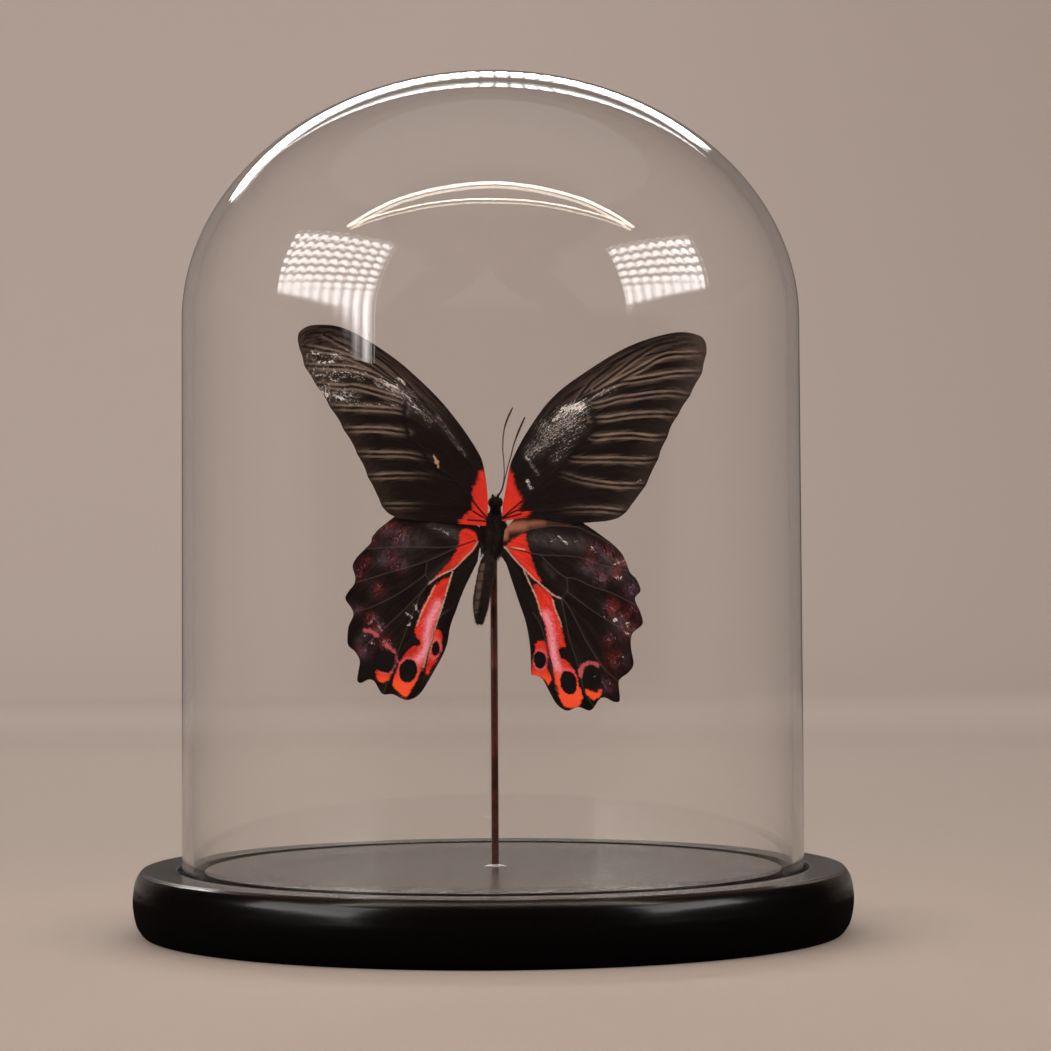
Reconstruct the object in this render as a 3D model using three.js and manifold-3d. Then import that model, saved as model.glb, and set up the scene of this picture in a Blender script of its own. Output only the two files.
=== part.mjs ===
// A mounted swallowtail butterfly on a rod, under a glass dome on a turned wooden base.
// Millimetres, +Z up, +X to the right. The butterfly's back and the front of the piece face -Y.
// The origin is the middle of the base's underside.

import * as THREE from "three";
import { mergeVertices } from "three/addons/utils/BufferGeometryUtils.js";
import Module from "manifold-3d";

const wasm = await Module();
wasm.setup();

// ---- Driving dimensions ----

const restGap = 0.3; // between pieces that touch

const base = {
  height: 18,
  topRadius: 97.2,
  bulgeRadius: 99.8,
  footRadius: 97.4,
  grooveInner: 80,
  grooveOuter: 87.5,
  grooveDepth: 5,
  sides: 60,
};

const dome = {
  apexHeight: 238.4, // above the underside of the base
  footRadius: 86.2,
  shoulderRadius: 85.5,
  crownRise: 69.2, // the crown is half an ellipsoid
  thickness: 3,
  crownSteps: 8,
  sides: 48,
};

const rod = { x: 0.5, y: -0.5, radius: 1, foot: 10, top: 109.5, sides: 12 };

const glue = { radius: 3.2, height: 0.5, edge: 0.15, gap: 0.1, sides: 20 };

// The butterfly is laid out about the middle of its thorax.
const butterfly = { x: 0.4, y: -2.6, z: 111.5 };

const thorax = { halfWidth: 3.5, halfDepth: 3.7, halfHeight: 6.55, x: 0.1, z: -1.45, squareness: 2.4 };

const head = { x: 0.7, y: -1.6, z: 7.4, radius: 1.7, eyeRadius: 1.1, eyeOut: 1 };

const wing = {
  thickness: 0.35,
  gap: 0.35, // between the forewings and the hindwings behind them
  rootOut: 2.3, // the wings leave the body this far from its middle
  rootForward: 4, // and lie this far in front of the thorax's middle there
  lift: 0.19, // they rise forwards with this slope
  droop: 0.0009, // which eases off towards the tips
};

// ---- Wing outlines: [x, z] from the middle of the thorax ----

const foreLeft = {
  root: [[-2, 0.9], [-1.4, 4.5], [-1.4, 8.7], [-1.7, 12.5], [-2.4, 17]],
  costa: [[-2.4, 17], [-3.8, 21], [-9.3, 29.4], [-16.4, 37.8], [-27.2, 47.5], [-39.8, 55.1],
    [-48.1, 56.3], [-52.3, 54.7], [-53.2, 51.7]],
  inner: [[-2, 0.9], [-9, 1.5], [-17.4, 2.2], [-26.2, 3.2]],
  margin: [[-26.2, 3.2], [-29.2, 4.8], [-31.6, 8.8], [-34.1, 14.3], [-37.4, 21.4], [-41.6, 29],
    [-47, 37.9], [-51.1, 44.6], [-53.2, 51.7]],
};

const foreRight = {
  root: [[2.6, 2.2], [2.7, 6.1], [3.4, 10.3], [4.4, 15.8]],
  costa: [[4.4, 15.8], [5.6, 19.6], [9.8, 27.2], [16.2, 35.8], [24.6, 42.4], [37.3, 49.9],
    [49.8, 53.6], [56.9, 52.7], [58.9, 49.5]],
  inner: [[2.6, 2.2], [10.1, 3.1], [16, 2.2], [21.1, 1.4], [26.1, 1.7], [31.6, 2.1]],
  margin: [[31.6, 2.1], [35.3, 3.4], [39.5, 8], [43.1, 13.8], [45.7, 19.7], [49.7, 28.9],
    [53.5, 35.2], [57.5, 42.7], [58.9, 49.5]],
};

const hindLeft = {
  root: [[-4.3, -8.9], [-3.6, -4.5], [-2.7, -0.6]],
  costa: [[-2.7, -0.6], [-8, 4.2], [-16, 6.4], [-24, 5.4], [-31.4, 0.2]],
  inner: [[-4.3, -8.9], [-7.9, -16], [-10.3, -22.2], [-11.9, -26.8], [-13, -32.2], [-15.8, -37.2],
    [-18.1, -40.7]],
  margin: [[-18.1, -40.7], [-19.3, -43.8], [-21.2, -45.9], [-23.5, -46.8], [-25.1, -46.5],
    [-27.8, -45.2], [-30.6, -45], [-32.7, -41.7], [-34.3, -41.1], [-36.4, -42], [-37.4, -41.2],
    [-37.1, -38.9], [-36.7, -35.9], [-37.9, -33.5], [-39.8, -31.6], [-40, -28.9], [-39.6, -26.2],
    [-38.4, -23.5], [-38.8, -21.6], [-40.5, -18.9], [-39.7, -16.9], [-38.2, -15], [-37.8, -12.9],
    [-38.5, -10], [-37.5, -7.7], [-35.3, -5.4], [-33.5, -3.5], [-33.1, -1.9], [-31.4, 0.2]],
};

const hindRight = {
  root: [[2.4, -7.7], [2.8, -4], [3.2, -0.3]],
  costa: [[3.2, -0.3], [7, 3.6], [13, 5.4], [19.5, 4.4], [24.9, 0.6]],
  inner: [[2.4, -7.7], [3.7, -9.8], [4.9, -13.5], [6.9, -19.6], [9, -26], [10.1, -33], [10.3, -40.1]],
  margin: [[10.3, -40.1], [13.2, -41.1], [15.1, -44.4], [17.3, -48.2], [20.1, -50], [23.2, -49],
    [26.6, -49.9], [28.9, -47], [30.5, -46.4], [33.2, -47.6], [34.6, -47], [34.3, -42.4],
    [35.1, -40.9], [37, -39.5], [38.4, -37.2], [37.8, -33.1], [37.7, -30.5], [38.4, -28.5],
    [40.9, -26.2], [40.4, -23.1], [38.9, -19.3], [40.4, -17], [39.3, -13.9], [37.6, -12],
    [36.1, -8.1], [34.5, -5.8], [31.9, -3.4], [28.4, -1.1], [24.9, 0.6]],
};

// ---- Body, feeler and leg routes: [x, y, z] from the middle of the thorax ----

const abdomenRoute = [[-1.4, -1.9, -8.4], [-2.3, -1.9, -14], [-3.4, -1.8, -20], [-3.9, -1.7, -26.2]];
const abdomenRadii = [1.3, 2, 2.3, 2.4, 2.4, 2.35, 2.3, 2.1, 1.5, 0.95];

const feelers = {
  antenna_left: [[1.2, -2.4, 9.4], [2.3, -2.4, 10.7], [3.1, -2.4, 14.1], [3.1, -2.5, 18.5],
    [2.8, -2.6, 22.4], [3.1, -2.7, 26.8], [4, -2.8, 30.1], [5.6, -2.9, 33.6]],
  antenna_right: [[1.6, -1.5, 9.4], [2.5, -1.3, 10.8], [3.3, -1.1, 13.8], [4.2, -1, 17.4],
    [5, -1.1, 20], [5.9, -1.3, 23.5], [7.3, -1.5, 27.3], [9, -1.7, 31]],
};

// The right-hand legs, folded close behind the thorax. The left-hand ones mirror them.
const legs = {
  fore: [[1.2, 4.3, 2], [3.5, 4.8, 1.1], [1.9, 5.6, -3.2], [1.7, 6, -6.8]],
  middle: [[1.2, 4.35, -2], [3.7, 4.7, -3.6], [3.3, 5.9, -5.8], [3.5, 6.4, -7.4]],
  hind: [[1.3, 4.15, -4.8], [3.2, 4.3, -5.8], [2.3, 4.9, -7.2], [0.9, 5.2, -7.5]],
};

// ---- Materials ----

const finish = {
  blackWood: new THREE.MeshStandardMaterial({ color: 0x17110f, roughness: 0.32 }),
  glass: new THREE.MeshStandardMaterial({ color: 0xe8efe9, roughness: 0.02, transparent: true, opacity: 0.25 }),
  brownMetal: new THREE.MeshStandardMaterial({ color: 0x45190f, roughness: 0.3, metalness: 0.4 }),
  clearGlue: new THREE.MeshStandardMaterial({ color: 0xcfc4ba, roughness: 0.15 }),
  blackHair: new THREE.MeshStandardMaterial({ color: 0x14100e, roughness: 0.85 }),
  foreScales: new THREE.MeshStandardMaterial({ color: 0x2a1f1b, roughness: 0.7 }),
  hindScales: new THREE.MeshStandardMaterial({ color: 0x5a211a, roughness: 0.7 }),
  horn: new THREE.MeshStandardMaterial({ color: 0x120d0b, roughness: 0.4 }),
};

// ---- Shaping ----

// A profile of [radius, height] points turned about the Z axis.
function turned(profile, sides) {
  const points = profile.map(([radius, height]) => new THREE.Vector2(radius, height));
  return new THREE.LatheGeometry(points, sides).rotateX(Math.PI / 2);
}

// Moves every vertex to where place(x, y, z) puts it.
function reshaped(geometry, place) {
  const position = geometry.getAttribute("position");
  for (let i = 0; i < position.count; i++) {
    const [x, y, z] = place(position.getX(i), position.getY(i), position.getZ(i));
    position.setXYZ(i, x, y, z);
  }
  return geometry;
}

// Turns every triangle round.
function flipped(geometry) {
  const order = geometry.getIndex().array;
  for (let i = 0; i < order.length; i += 3) {
    [order[i + 1], order[i + 2]] = [order[i + 2], order[i + 1]];
  }
  return geometry;
}

function solidFrom(geometry) {
  const bare = geometry.clone();
  bare.deleteAttribute("normal");
  bare.deleteAttribute("uv");
  const merged = mergeVertices(bare, 1e-4);
  return new wasm.Manifold(new wasm.Mesh({
    numProp: 3,
    vertProperties: merged.getAttribute("position").array,
    triVerts: new Uint32Array(merged.getIndex().array),
  }));
}

function geometryFrom(solid) {
  const mesh = solid.getMesh();
  const geometry = new THREE.BufferGeometry();
  geometry.setAttribute("position", new THREE.BufferAttribute(mesh.vertProperties, 3));
  geometry.setIndex(new THREE.BufferAttribute(mesh.triVerts, 1));
  geometry.computeVertexNormals();
  return geometry;
}

function ball(radius, [x, y, z], [wide, deep, high] = [1, 1, 1], around = 14, rings = 10) {
  return new THREE.SphereGeometry(radius, around, rings)
    .rotateX(Math.PI / 2)
    .scale(wide, deep, high)
    .translate(x, y, z);
}

// A round limb along a smooth route, with its radii spread evenly from end to end.
function limb(route, radii, sides) {
  const path = new THREE.CatmullRomCurve3(route.map((point) => new THREE.Vector3(...point)));
  const steps = radii.length - 1;
  const frames = path.computeFrenetFrames(steps);
  const profile = [[0, 0], ...radii.map((radius, step) => [radius, step]), [0, steps]];
  const points = profile.map(([radius, step]) => new THREE.Vector2(radius, step));
  return flipped(reshaped(new THREE.LatheGeometry(points, sides), (x, y, z) => {
    const step = Math.round(y);
    return path.getPointAt(step / steps)
      .addScaledVector(frames.normals[step], x)
      .addScaledVector(frames.binormals[step], z)
      .toArray();
  }));
}

// How far forward the wings lie at a distance from the body's middle.
function wingForward(x) {
  const out = Math.max(0, Math.abs(x) - wing.rootOut);
  return wing.rootForward + wing.lift * out - wing.droop * out * out;
}

// A wing between its four edges. The inner edge and the costa run outwards from the root,
// and the root and the outer margin run from the inner edge to the costa.
function wingPanel(outline, columns, rows, layer) {
  const edge = (points) => new THREE.SplineCurve(points.map(([x, z]) => new THREE.Vector2(x, z)));
  const [root, costa, inner, margin] =
    [outline.root, outline.costa, outline.inner, outline.margin].map(edge);
  const offset = layer * (wing.thickness + wing.gap) / 2;
  const panel = reshaped(new THREE.BoxGeometry(1, 1, 1, columns, 1, rows), (across, side, up) => {
    const u = across + 0.5;
    const v = up + 0.5;
    const between = inner.getPoint(u).multiplyScalar(1 - v)
      .addScaledVector(costa.getPoint(u), v)
      .addScaledVector(root.getPoint(v), 1 - u)
      .addScaledVector(margin.getPoint(v), u)
      .addScaledVector(root.getPoint(0), -(1 - u) * (1 - v))
      .addScaledVector(margin.getPoint(0), -u * (1 - v))
      .addScaledVector(root.getPoint(1), -(1 - u) * v)
      .addScaledVector(margin.getPoint(1), -u * v);
    return [between.x, offset - wingForward(between.x) + side * wing.thickness, between.y];
  });
  return outline.costa.at(-1)[0] < 0 ? flipped(panel) : panel;
}

// ---- Pieces ----

function piece(name, geometry, material) {
  const mesh = new THREE.Mesh(geometry, material);
  mesh.name = name;
  return mesh;
}

function basePiece() {
  const grooveFloor = base.height - base.grooveDepth;
  const holeRadius = rod.radius + restGap;
  const holeFloor = rod.foot - restGap;
  const disc = turned([
    [0, 0], [base.footRadius - 0.8, 0], [base.footRadius, 0.8], [98.9, 3.4],
    [base.bulgeRadius, 8.4], [99.5, 12], [98.6, 15.4], [base.topRadius, base.height],
    [base.grooveOuter, base.height], [base.grooveOuter, grooveFloor],
    [base.grooveInner, grooveFloor], [base.grooveInner, base.height], [0, base.height],
  ], base.sides);
  const hole = turned([[0, holeFloor], [holeRadius, holeFloor], [holeRadius, 30], [0, 30]], rod.sides)
    .translate(rod.x, rod.y, 0);
  return geometryFrom(solidFrom(disc).subtract(solidFrom(hole)));
}

function domePiece() {
  const rim = base.height - base.grooveDepth + restGap;
  const shoulder = dome.apexHeight - dome.crownRise;
  const crown = (inset) => Array.from({ length: dome.crownSteps }, (_, step) => {
    const angle = (step / dome.crownSteps) * Math.PI / 2;
    const radius = (dome.shoulderRadius - inset) * Math.cos(angle);
    return [radius, shoulder + (dome.crownRise - inset) * Math.sin(angle)];
  });
  const outer = [[dome.footRadius, rim + 1], ...crown(0), [0, dome.apexHeight]];
  const inner = [[dome.footRadius - dome.thickness, rim + 1], ...crown(dome.thickness),
    [0, dome.apexHeight - dome.thickness]];
  const foot = [[dome.footRadius - 2.2, rim], [dome.footRadius - 0.8, rim]];
  return turned([...inner.reverse(), ...foot, ...outer], dome.sides);
}

function rodPiece() {
  return turned([[0, rod.foot], [rod.radius, rod.foot], [rod.radius, rod.top], [0, rod.top]], rod.sides)
    .translate(rod.x, rod.y, 0);
}

function gluePiece() {
  const floor = base.height + glue.gap;
  const bore = rod.radius + 0.1;
  return turned([
    [bore, floor], [glue.radius, floor], [glue.radius, floor + glue.edge],
    [glue.radius * 0.6, floor + glue.height * 0.6], [bore, floor + glue.height], [bore, floor],
  ], glue.sides).translate(rod.x, rod.y, 0);
}

// An ellipsoid with squared flanks, bored from below for the rod.
function thoraxPiece() {
  const flank = (x, y) => (Math.abs(x) ** thorax.squareness + Math.abs(y) ** thorax.squareness)
    ** (1 / thorax.squareness);
  const barrel = reshaped(ball(1, [0, 0, 0], [1, 1, 1], 18, 12), (x, y, z) => {
    const stretch = Math.hypot(x, y) / Math.max(flank(x, y), 1e-6);
    return [
      thorax.x + x * stretch * thorax.halfWidth,
      y * stretch * thorax.halfDepth,
      thorax.z + z * thorax.halfHeight,
    ];
  });
  const boreTop = rod.top + restGap - butterfly.z;
  const boreRadius = rod.radius + restGap;
  const bore = turned([[0, -30], [boreRadius, -30], [boreRadius, boreTop], [0, boreTop]], rod.sides)
    .translate(rod.x - butterfly.x, rod.y - butterfly.y, 0);
  return geometryFrom(solidFrom(barrel).subtract(solidFrom(bore)));
}

// Skull, two eyes, two palps that stand up in front, and the coiled tongue behind.
function headPiece() {
  const { x, y, z } = head;
  const skull = solidFrom(ball(head.radius, [x, y, z]));
  const eyes = [-1, 1].map((side) => ball(head.eyeRadius, [x + side * head.eyeOut, y, z], [1, 1.1, 1.25]));
  const palps = [-1, 1].map((side) => limb(
    [[x + side * 0.5, y + 1.1, z + 0.6], [x + side * 0.7, y + 1.5, z + 1.7], [x + side * 0.8, y + 1.3, z + 2.3]],
    [0.4, 0.35, 0.2], 8));
  const tongue = new THREE.TorusGeometry(0.9, 0.25, 6, 12).rotateY(Math.PI / 2).translate(x, y + 1.9, z + 0.3);
  return geometryFrom([...eyes, ...palps, tongue].reduce((sum, part) => sum.add(solidFrom(part)), skull));
}

function butterflyPieces() {
  const group = new THREE.Group();
  group.position.set(butterfly.x, butterfly.y, butterfly.z);
  group.add(piece("thorax", thoraxPiece(), finish.blackHair));
  group.add(piece("head", headPiece(), finish.blackHair));
  group.add(piece("abdomen", limb(abdomenRoute, abdomenRadii, 14), finish.blackHair));
  const front = -1;
  const behind = 1;
  group.add(piece("forewing_left", wingPanel(foreLeft, 16, 12, front), finish.foreScales));
  group.add(piece("forewing_right", wingPanel(foreRight, 16, 12, front), finish.foreScales));
  group.add(piece("hindwing_left", wingPanel(hindLeft, 8, 28, behind), finish.hindScales));
  group.add(piece("hindwing_right", wingPanel(hindRight, 8, 28, behind), finish.hindScales));
  const feelerRadii = [...Array(11).fill(0.26), 0.27, 0.32, 0.36, 0.28];
  for (const [name, route] of Object.entries(feelers)) {
    group.add(piece(name, limb(route, feelerRadii, 6), finish.horn));
  }
  const legRadii = [0.5, 0.45, 0.45, 0.35, 0.32, 0.3, 0.28, 0.25, 0.22];
  for (const [pair, route] of Object.entries(legs)) {
    for (const [hand, side] of [["left", -1], ["right", 1]]) {
      const mirrored = route.map(([x, y, z]) => [side * x, y, z]);
      group.add(piece(`leg_${pair}_${hand}`, limb(mirrored, legRadii, 5), finish.horn));
    }
  }
  return group;
}

const model = new THREE.Group();
model.add(piece("base", basePiece(), finish.blackWood));
model.add(piece("glass_dome", domePiece(), finish.glass));
model.add(piece("rod", rodPiece(), finish.brownMetal));
model.add(piece("glue_ring", gluePiece(), finish.clearGlue));
model.add(butterflyPieces());

export default model;
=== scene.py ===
import math

import bmesh
import bpy
import numpy as np
from mathutils import Matrix, Vector, noise


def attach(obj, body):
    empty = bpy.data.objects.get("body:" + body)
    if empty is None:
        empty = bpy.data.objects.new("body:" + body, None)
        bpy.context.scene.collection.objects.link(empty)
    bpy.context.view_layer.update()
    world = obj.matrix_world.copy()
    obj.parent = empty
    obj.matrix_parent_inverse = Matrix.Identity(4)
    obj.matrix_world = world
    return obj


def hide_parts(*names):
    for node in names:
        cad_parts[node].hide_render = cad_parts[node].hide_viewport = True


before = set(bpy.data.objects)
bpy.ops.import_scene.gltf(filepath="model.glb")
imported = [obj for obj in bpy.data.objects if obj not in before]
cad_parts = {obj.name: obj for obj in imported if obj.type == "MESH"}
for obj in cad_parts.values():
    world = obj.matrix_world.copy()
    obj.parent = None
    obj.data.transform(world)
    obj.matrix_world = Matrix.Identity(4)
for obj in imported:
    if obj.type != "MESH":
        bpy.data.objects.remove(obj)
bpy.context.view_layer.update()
mm = 0.001  # every size in the dictionaries below is in millimetres


# Shader helpers

def tint(red, green, blue):
    # a display colour, 0 to 255, as the linear colour that a node takes
    parts = [c / 255 for c in (red, green, blue)]
    return tuple(c / 12.92 if c < 0.04045 else ((c + 0.055) / 1.055) ** 2.4 for c in parts) + (1,)


class Wire:
    # an output socket; arithmetic on it adds Math nodes
    def __init__(self, finish, socket):
        self.finish = finish
        self.socket = socket

    def maths(self, operation, first, second):
        return self.finish.node("ShaderNodeMath", {"operation": operation}, {0: first, 1: second})

    def __add__(self, other):
        return self.maths("ADD", self, other)

    def __radd__(self, other):
        return self.maths("ADD", other, self)

    def __sub__(self, other):
        return self.maths("SUBTRACT", self, other)

    def __rsub__(self, other):
        return self.maths("SUBTRACT", other, self)

    def __mul__(self, other):
        return self.maths("MULTIPLY", self, other)

    def __rmul__(self, other):
        return self.maths("MULTIPLY", other, self)

    def __truediv__(self, other):
        return self.maths("DIVIDE", self, other)

    def __rtruediv__(self, other):
        return self.maths("DIVIDE", other, self)


class Finish:
    # the nodes of a material, or of the lamp or world that is its owner
    def __init__(self, name, owner=None, end="ShaderNodeOutputMaterial"):
        self.owner = owner or bpy.data.materials.new(name)
        self.owner.use_nodes = True
        self.tree = self.owner.node_tree
        self.tree.nodes.clear()
        self.end = end

    def node(self, kind, settings=None, sockets=None, output=0):
        made = self.tree.nodes.new(kind)
        for name, value in (settings or {}).items():
            setattr(made, name, value)
        for key, value in (sockets or {}).items():
            if isinstance(value, Wire):
                self.tree.links.new(value.socket, made.inputs[key])
            else:
                made.inputs[key].default_value = value
        return Wire(self, made.outputs[output])

    def mix(self, share, low, high, kind="MIX"):
        settings = {"data_type": "RGBA", "blend_type": kind}
        return self.node("ShaderNodeMix", settings, {0: share, 6: low, 7: high}, 2)

    def rise(self, value, low, high):
        # 0 below low, 1 above high, eased between
        settings = {"interpolation_type": "SMOOTHSTEP"}
        return self.node("ShaderNodeMapRange", settings, {0: value, 1: low, 2: high})

    def mark(self, name):
        return self.node("ShaderNodeAttribute", {"attribute_name": name}, output=2)

    def place(self, scale=(1, 1, 1), turn=(0, 0, 0)):
        where = self.node("ShaderNodeTexCoord", output=3)
        return self.node("ShaderNodeMapping", None, {0: where, 2: turn, 3: scale})

    def rows(self, scale=(1, 1, 1)):
        # the wing's own map, which runs along and across the wing
        where = self.node("ShaderNodeUVMap", {"uv_map": "scaleRows"})
        return self.node("ShaderNodeMapping", None, {0: where, 3: scale})

    def outward(self, where):
        # distance from the upright axis
        plan = self.node("ShaderNodeVectorMath", {"operation": "MULTIPLY"}, {0: where, 1: (1, 1, 0)})
        return self.node("ShaderNodeVectorMath", {"operation": "LENGTH"}, {0: plan}, 1)

    def grain(self, where, scale, detail=3, rough=0.55, twist=0):
        sockets = {0: where, 2: scale, 3: detail, 4: rough, 8: twist}
        return self.node("ShaderNodeTexNoise", None, sockets)

    def broken(self, mask, breakup, amount):
        # a patch that falls apart into flecks towards its edge
        return self.rise(mask + (breakup - 0.5) * amount, 0.4, 0.62) * self.rise(mask, 0.03, 0.15)

    def relief(self, height, strength, distance):
        return self.node("ShaderNodeBump", None, {0: strength, 1: distance * mm, "Height": height})

    def shade(self, sockets):
        return self.node("ShaderNodeBsdfPrincipled", None, sockets)

    def done(self, surface, volume=None):
        end = self.tree.nodes.new(self.end)
        self.tree.links.new(surface.socket, end.inputs[0])
        if volume:
            self.tree.links.new(volume.socket, end.inputs[1])
        return self.owner


# Mesh helpers

def curveThrough(points, steps):
    # an even curve through the points, at the given shares of its way
    p = np.asarray(points, float)
    way = np.clip(steps, 0, 1) * (len(p) - 1)
    i = np.minimum(way.astype(int), len(p) - 2)
    w = (way - i)[..., None]
    before, a, b, after = p[np.maximum(i - 1, 0)], p[i], p[i + 1], p[np.minimum(i + 2, len(p) - 1)]
    leave, reach = (b - before) / 2, (after - a) / 2
    return ((2 * a - 2 * b + leave + reach) * w**3
            + (3 * b - 3 * a - 2 * leave - reach) * w**2 + leave * w + a)


def turned(profile, sides, soften=0.0):
    # a turned shape from its profile of (radius, height)
    made = bmesh.new()
    points = [made.verts.new((radius * mm, 0, height * mm)) for radius, height in profile]
    edges = [made.edges.new(pair) for pair in zip(points, points[1:])]
    bmesh.ops.spin(made, geom=points + edges, axis=(0, 0, 1), cent=(0, 0, 0),
                   steps=sides, angle=math.tau, use_merge=True)
    bmesh.ops.remove_doubles(made, verts=made.verts, dist=0.0005 * mm)
    bmesh.ops.recalc_face_normals(made, faces=made.faces)
    if soften:
        sharp = [e for e in made.edges if e.is_manifold and e.calc_face_angle() > math.radians(35)]
        bmesh.ops.bevel(made, geom=sharp, offset=soften * mm, affect="EDGES", segments=3,
                        profile=0.5, material=-1)
    return made


def addLimb(made, route, girths, sides, steps=None, ridges=None):
    # a tube along a route, as thick as its girths say
    steps = steps or 8 * len(route)
    share = np.linspace(0, 1, steps)
    thick = np.interp(share, np.linspace(0, 1, len(girths)), girths)
    if ridges:
        thick = thick * ridges(share)
    curve = bpy.data.curves.new("limb", "CURVE")
    curve.dimensions = "3D"
    curve.bevel_depth = 1
    curve.bevel_resolution = sides // 2 - 2
    curve.use_fill_caps = True
    spline = curve.splines.new("POLY")
    spline.points.add(steps - 1)
    for point, place, radius in zip(spline.points, curveThrough(route, share) * mm, thick * mm):
        point.co = (*place, 1)
        point.radius = radius
    holder = bpy.data.objects.new("limb", curve)
    mesh = bpy.data.meshes.new_from_object(holder)
    start = len(made.verts)
    made.from_mesh(mesh)
    made.verts.ensure_lookup_table()
    bmesh.ops.remove_doubles(made, verts=made.verts[start:], dist=0.0005 * mm)
    bpy.data.objects.remove(holder)
    bpy.data.curves.remove(curve)
    bpy.data.meshes.remove(mesh)


def addBall(made, centre, radius, stretch=(1, 1, 1), fine=3):
    place = Matrix.Translation(Vector(centre) * mm) @ Matrix.Diagonal((*stretch, 1))
    return bmesh.ops.create_icosphere(made, subdivisions=fine, radius=radius * mm, matrix=place)["verts"]


def settle(name, made, finishes, nodes, turnOut=True):
    # the finished piece, standing for its CAD nodes
    if turnOut:
        bmesh.ops.recalc_face_normals(made, faces=made.faces)
    mesh = bpy.data.meshes.new(name)
    made.to_mesh(mesh)
    made.free()
    mesh.shade_smooth()
    for finish in finishes:
        mesh.materials.append(finish)
    piece = bpy.data.objects.new(name, mesh)
    bpy.context.scene.collection.objects.link(piece)
    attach(piece, "root")
    if nodes:
        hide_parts(*nodes)
    return piece


# Camera, room and lights

camera = {"x": 9.39, "y": -1069, "z": 112.5, "roll": 0.3, "lens": 131.8, "sensor": 36}
room = {
    "floorRadius": 1650, "sweep": 900, "wallTop": 3400,
    # the wall's right side is painted darker: painted shade
    "wall": tint(186, 174, 167), "wallShadedSide": tint(174, 162, 155), "floor": tint(134, 123, 116),
    "glow": 0.29, "inGloss": 0.035,  # how much of the near side of the room a gloss shows
    "behind": (0.6, 0.9), "straight": (0.94, 0.985),  # the ways in which the glass's edges mirror the far side
    "turn": (-0.9, -0.2),  # the near side fades into the far one between these
}
# each softbox: bearing and height in degrees from the crown, distance, width and height, watts,
# cells across and up, and how much of its lower part is dark at its left and right ends
softboxes = {
    "leftBox": {
        "bearing": 208.5, "up": 19.2, "away": 1200, "size": (900, 735), "watts": 10, "cells": (10, 10),
        "cut": (0.21, -0.07),
    },
    "rightBox": {
        "bearing": -22, "up": 18, "away": 1200, "size": (780, 620), "watts": 7.8, "cells": (9, 8),
        "cut": (0, 0.24),
    },
    "backBox": {
        "bearing": 96.5, "up": 23.5, "away": 1250, "size": (1020, 95), "watts": 4.4, "cells": (50, 0.5),
        "cut": (0, 0),
    },
}
boxTone = (1, 0.975, 0.95)
# two thin lines of light overhead that bow apart and meet at both ends, as (x, y)
overhead = {
    "height": 1500, "glow": 0.0938, "tone": (1, 0.86, 0.7),
    "lines": [
        (44, [(-1430, -700), (-730, -590), (40, -540), (800, -590), (1500, -700)]),
        (24, [(-1430, -700), (-730, -776), (40, -804), (800, -776), (1500, -700)]),
    ],
}
air = {"tone": (1, 0.975, 0.955), "strength": 0.5}

eye = bpy.data.cameras.new("camera")
eye.lens = camera["lens"]
eye.sensor_width = camera["sensor"]
eye.clip_start = 0.02
eye.clip_end = 20
viewer = bpy.data.objects.new("camera", eye)
viewer.location = Vector((camera["x"], camera["y"], camera["z"])) * mm
viewer.rotation_euler = (math.radians(90), math.radians(camera["roll"]), 0)
bpy.context.scene.collection.objects.link(viewer)
bpy.context.scene.camera = viewer


def addLamp(name, place, aim, size, watts, tone, cells=None, cut=(0, 0), turn=0):
    lamp = bpy.data.lights.new(name, "AREA")
    lamp.shape = "RECTANGLE"
    lamp.size = size[0] * mm
    lamp.size_y = size[1] * mm
    lamp.energy = watts
    lamp.color = tone
    holder = bpy.data.objects.new(name, lamp)
    holder.location = place * mm
    holder.rotation_euler = (aim - place).to_track_quat("-Z", "Y").to_euler()
    holder.rotation_euler.z += turn
    holder.visible_camera = False
    bpy.context.scene.collection.objects.link(holder)
    if cells:
        # the soft grid of a box's front
        finish = Finish(name, lamp, "ShaderNodeOutputLight")
        spot = finish.node("ShaderNodeNewGeometry", output=5)
        across = finish.node("ShaderNodeSeparateXYZ", None, {0: spot}, 0)
        up = finish.node("ShaderNodeSeparateXYZ", None, {0: spot}, 1)
        columns = finish.node("ShaderNodeMath", {"operation": "SINE"}, {0: across * (cells[0] * math.tau)})
        rows = finish.node("ShaderNodeMath", {"operation": "SINE"}, {0: up * (cells[1] * math.tau)})
        lines = finish.rise(rows, -1, 0.9)
        dark = cut[0] + across * (cut[1] - cut[0])
        low = 1 - finish.rise(up - dark * 0.5, 0.1, 0.45)
        lines = lines + (0.8 - lines) * low if cells[1] > 1 else lines
        power = (finish.rise(columns, -1, 0.9) * lines * 3.4 + 0.12) * finish.rise(up - dark, 0, 0.1)
        glow = finish.node("ShaderNodeEmission", None, {0: (1, 1, 1, 1), 1: power})
        finish.done(glow)


crownCentre = Vector((0, 0, 170))
for name, box in softboxes.items():
    bearing, up = math.radians(box["bearing"]), math.radians(box["up"])
    way = Vector((math.cos(bearing) * math.cos(up), math.sin(bearing) * math.cos(up), math.sin(up)))
    addLamp(name, crownCentre + way * box["away"], crownCentre, box["size"], box["watts"], boxTone,
            box["cells"], box["cut"])
for width, line in overhead["lines"]:
    for start, end in zip(line, line[1:]):
        way = Vector(end) - Vector(start)
        above = Vector(((start[0] + end[0]) / 2, (start[1] + end[1]) / 2, overhead["height"]))
        watts = overhead["glow"] * way.length * width * mm
        addLamp("overheadLine", above, above - Vector((0, 0, 1)), (way.length + 4, width), watts,
                overhead["tone"], turn=math.atan2(way.y, way.x))


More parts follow.
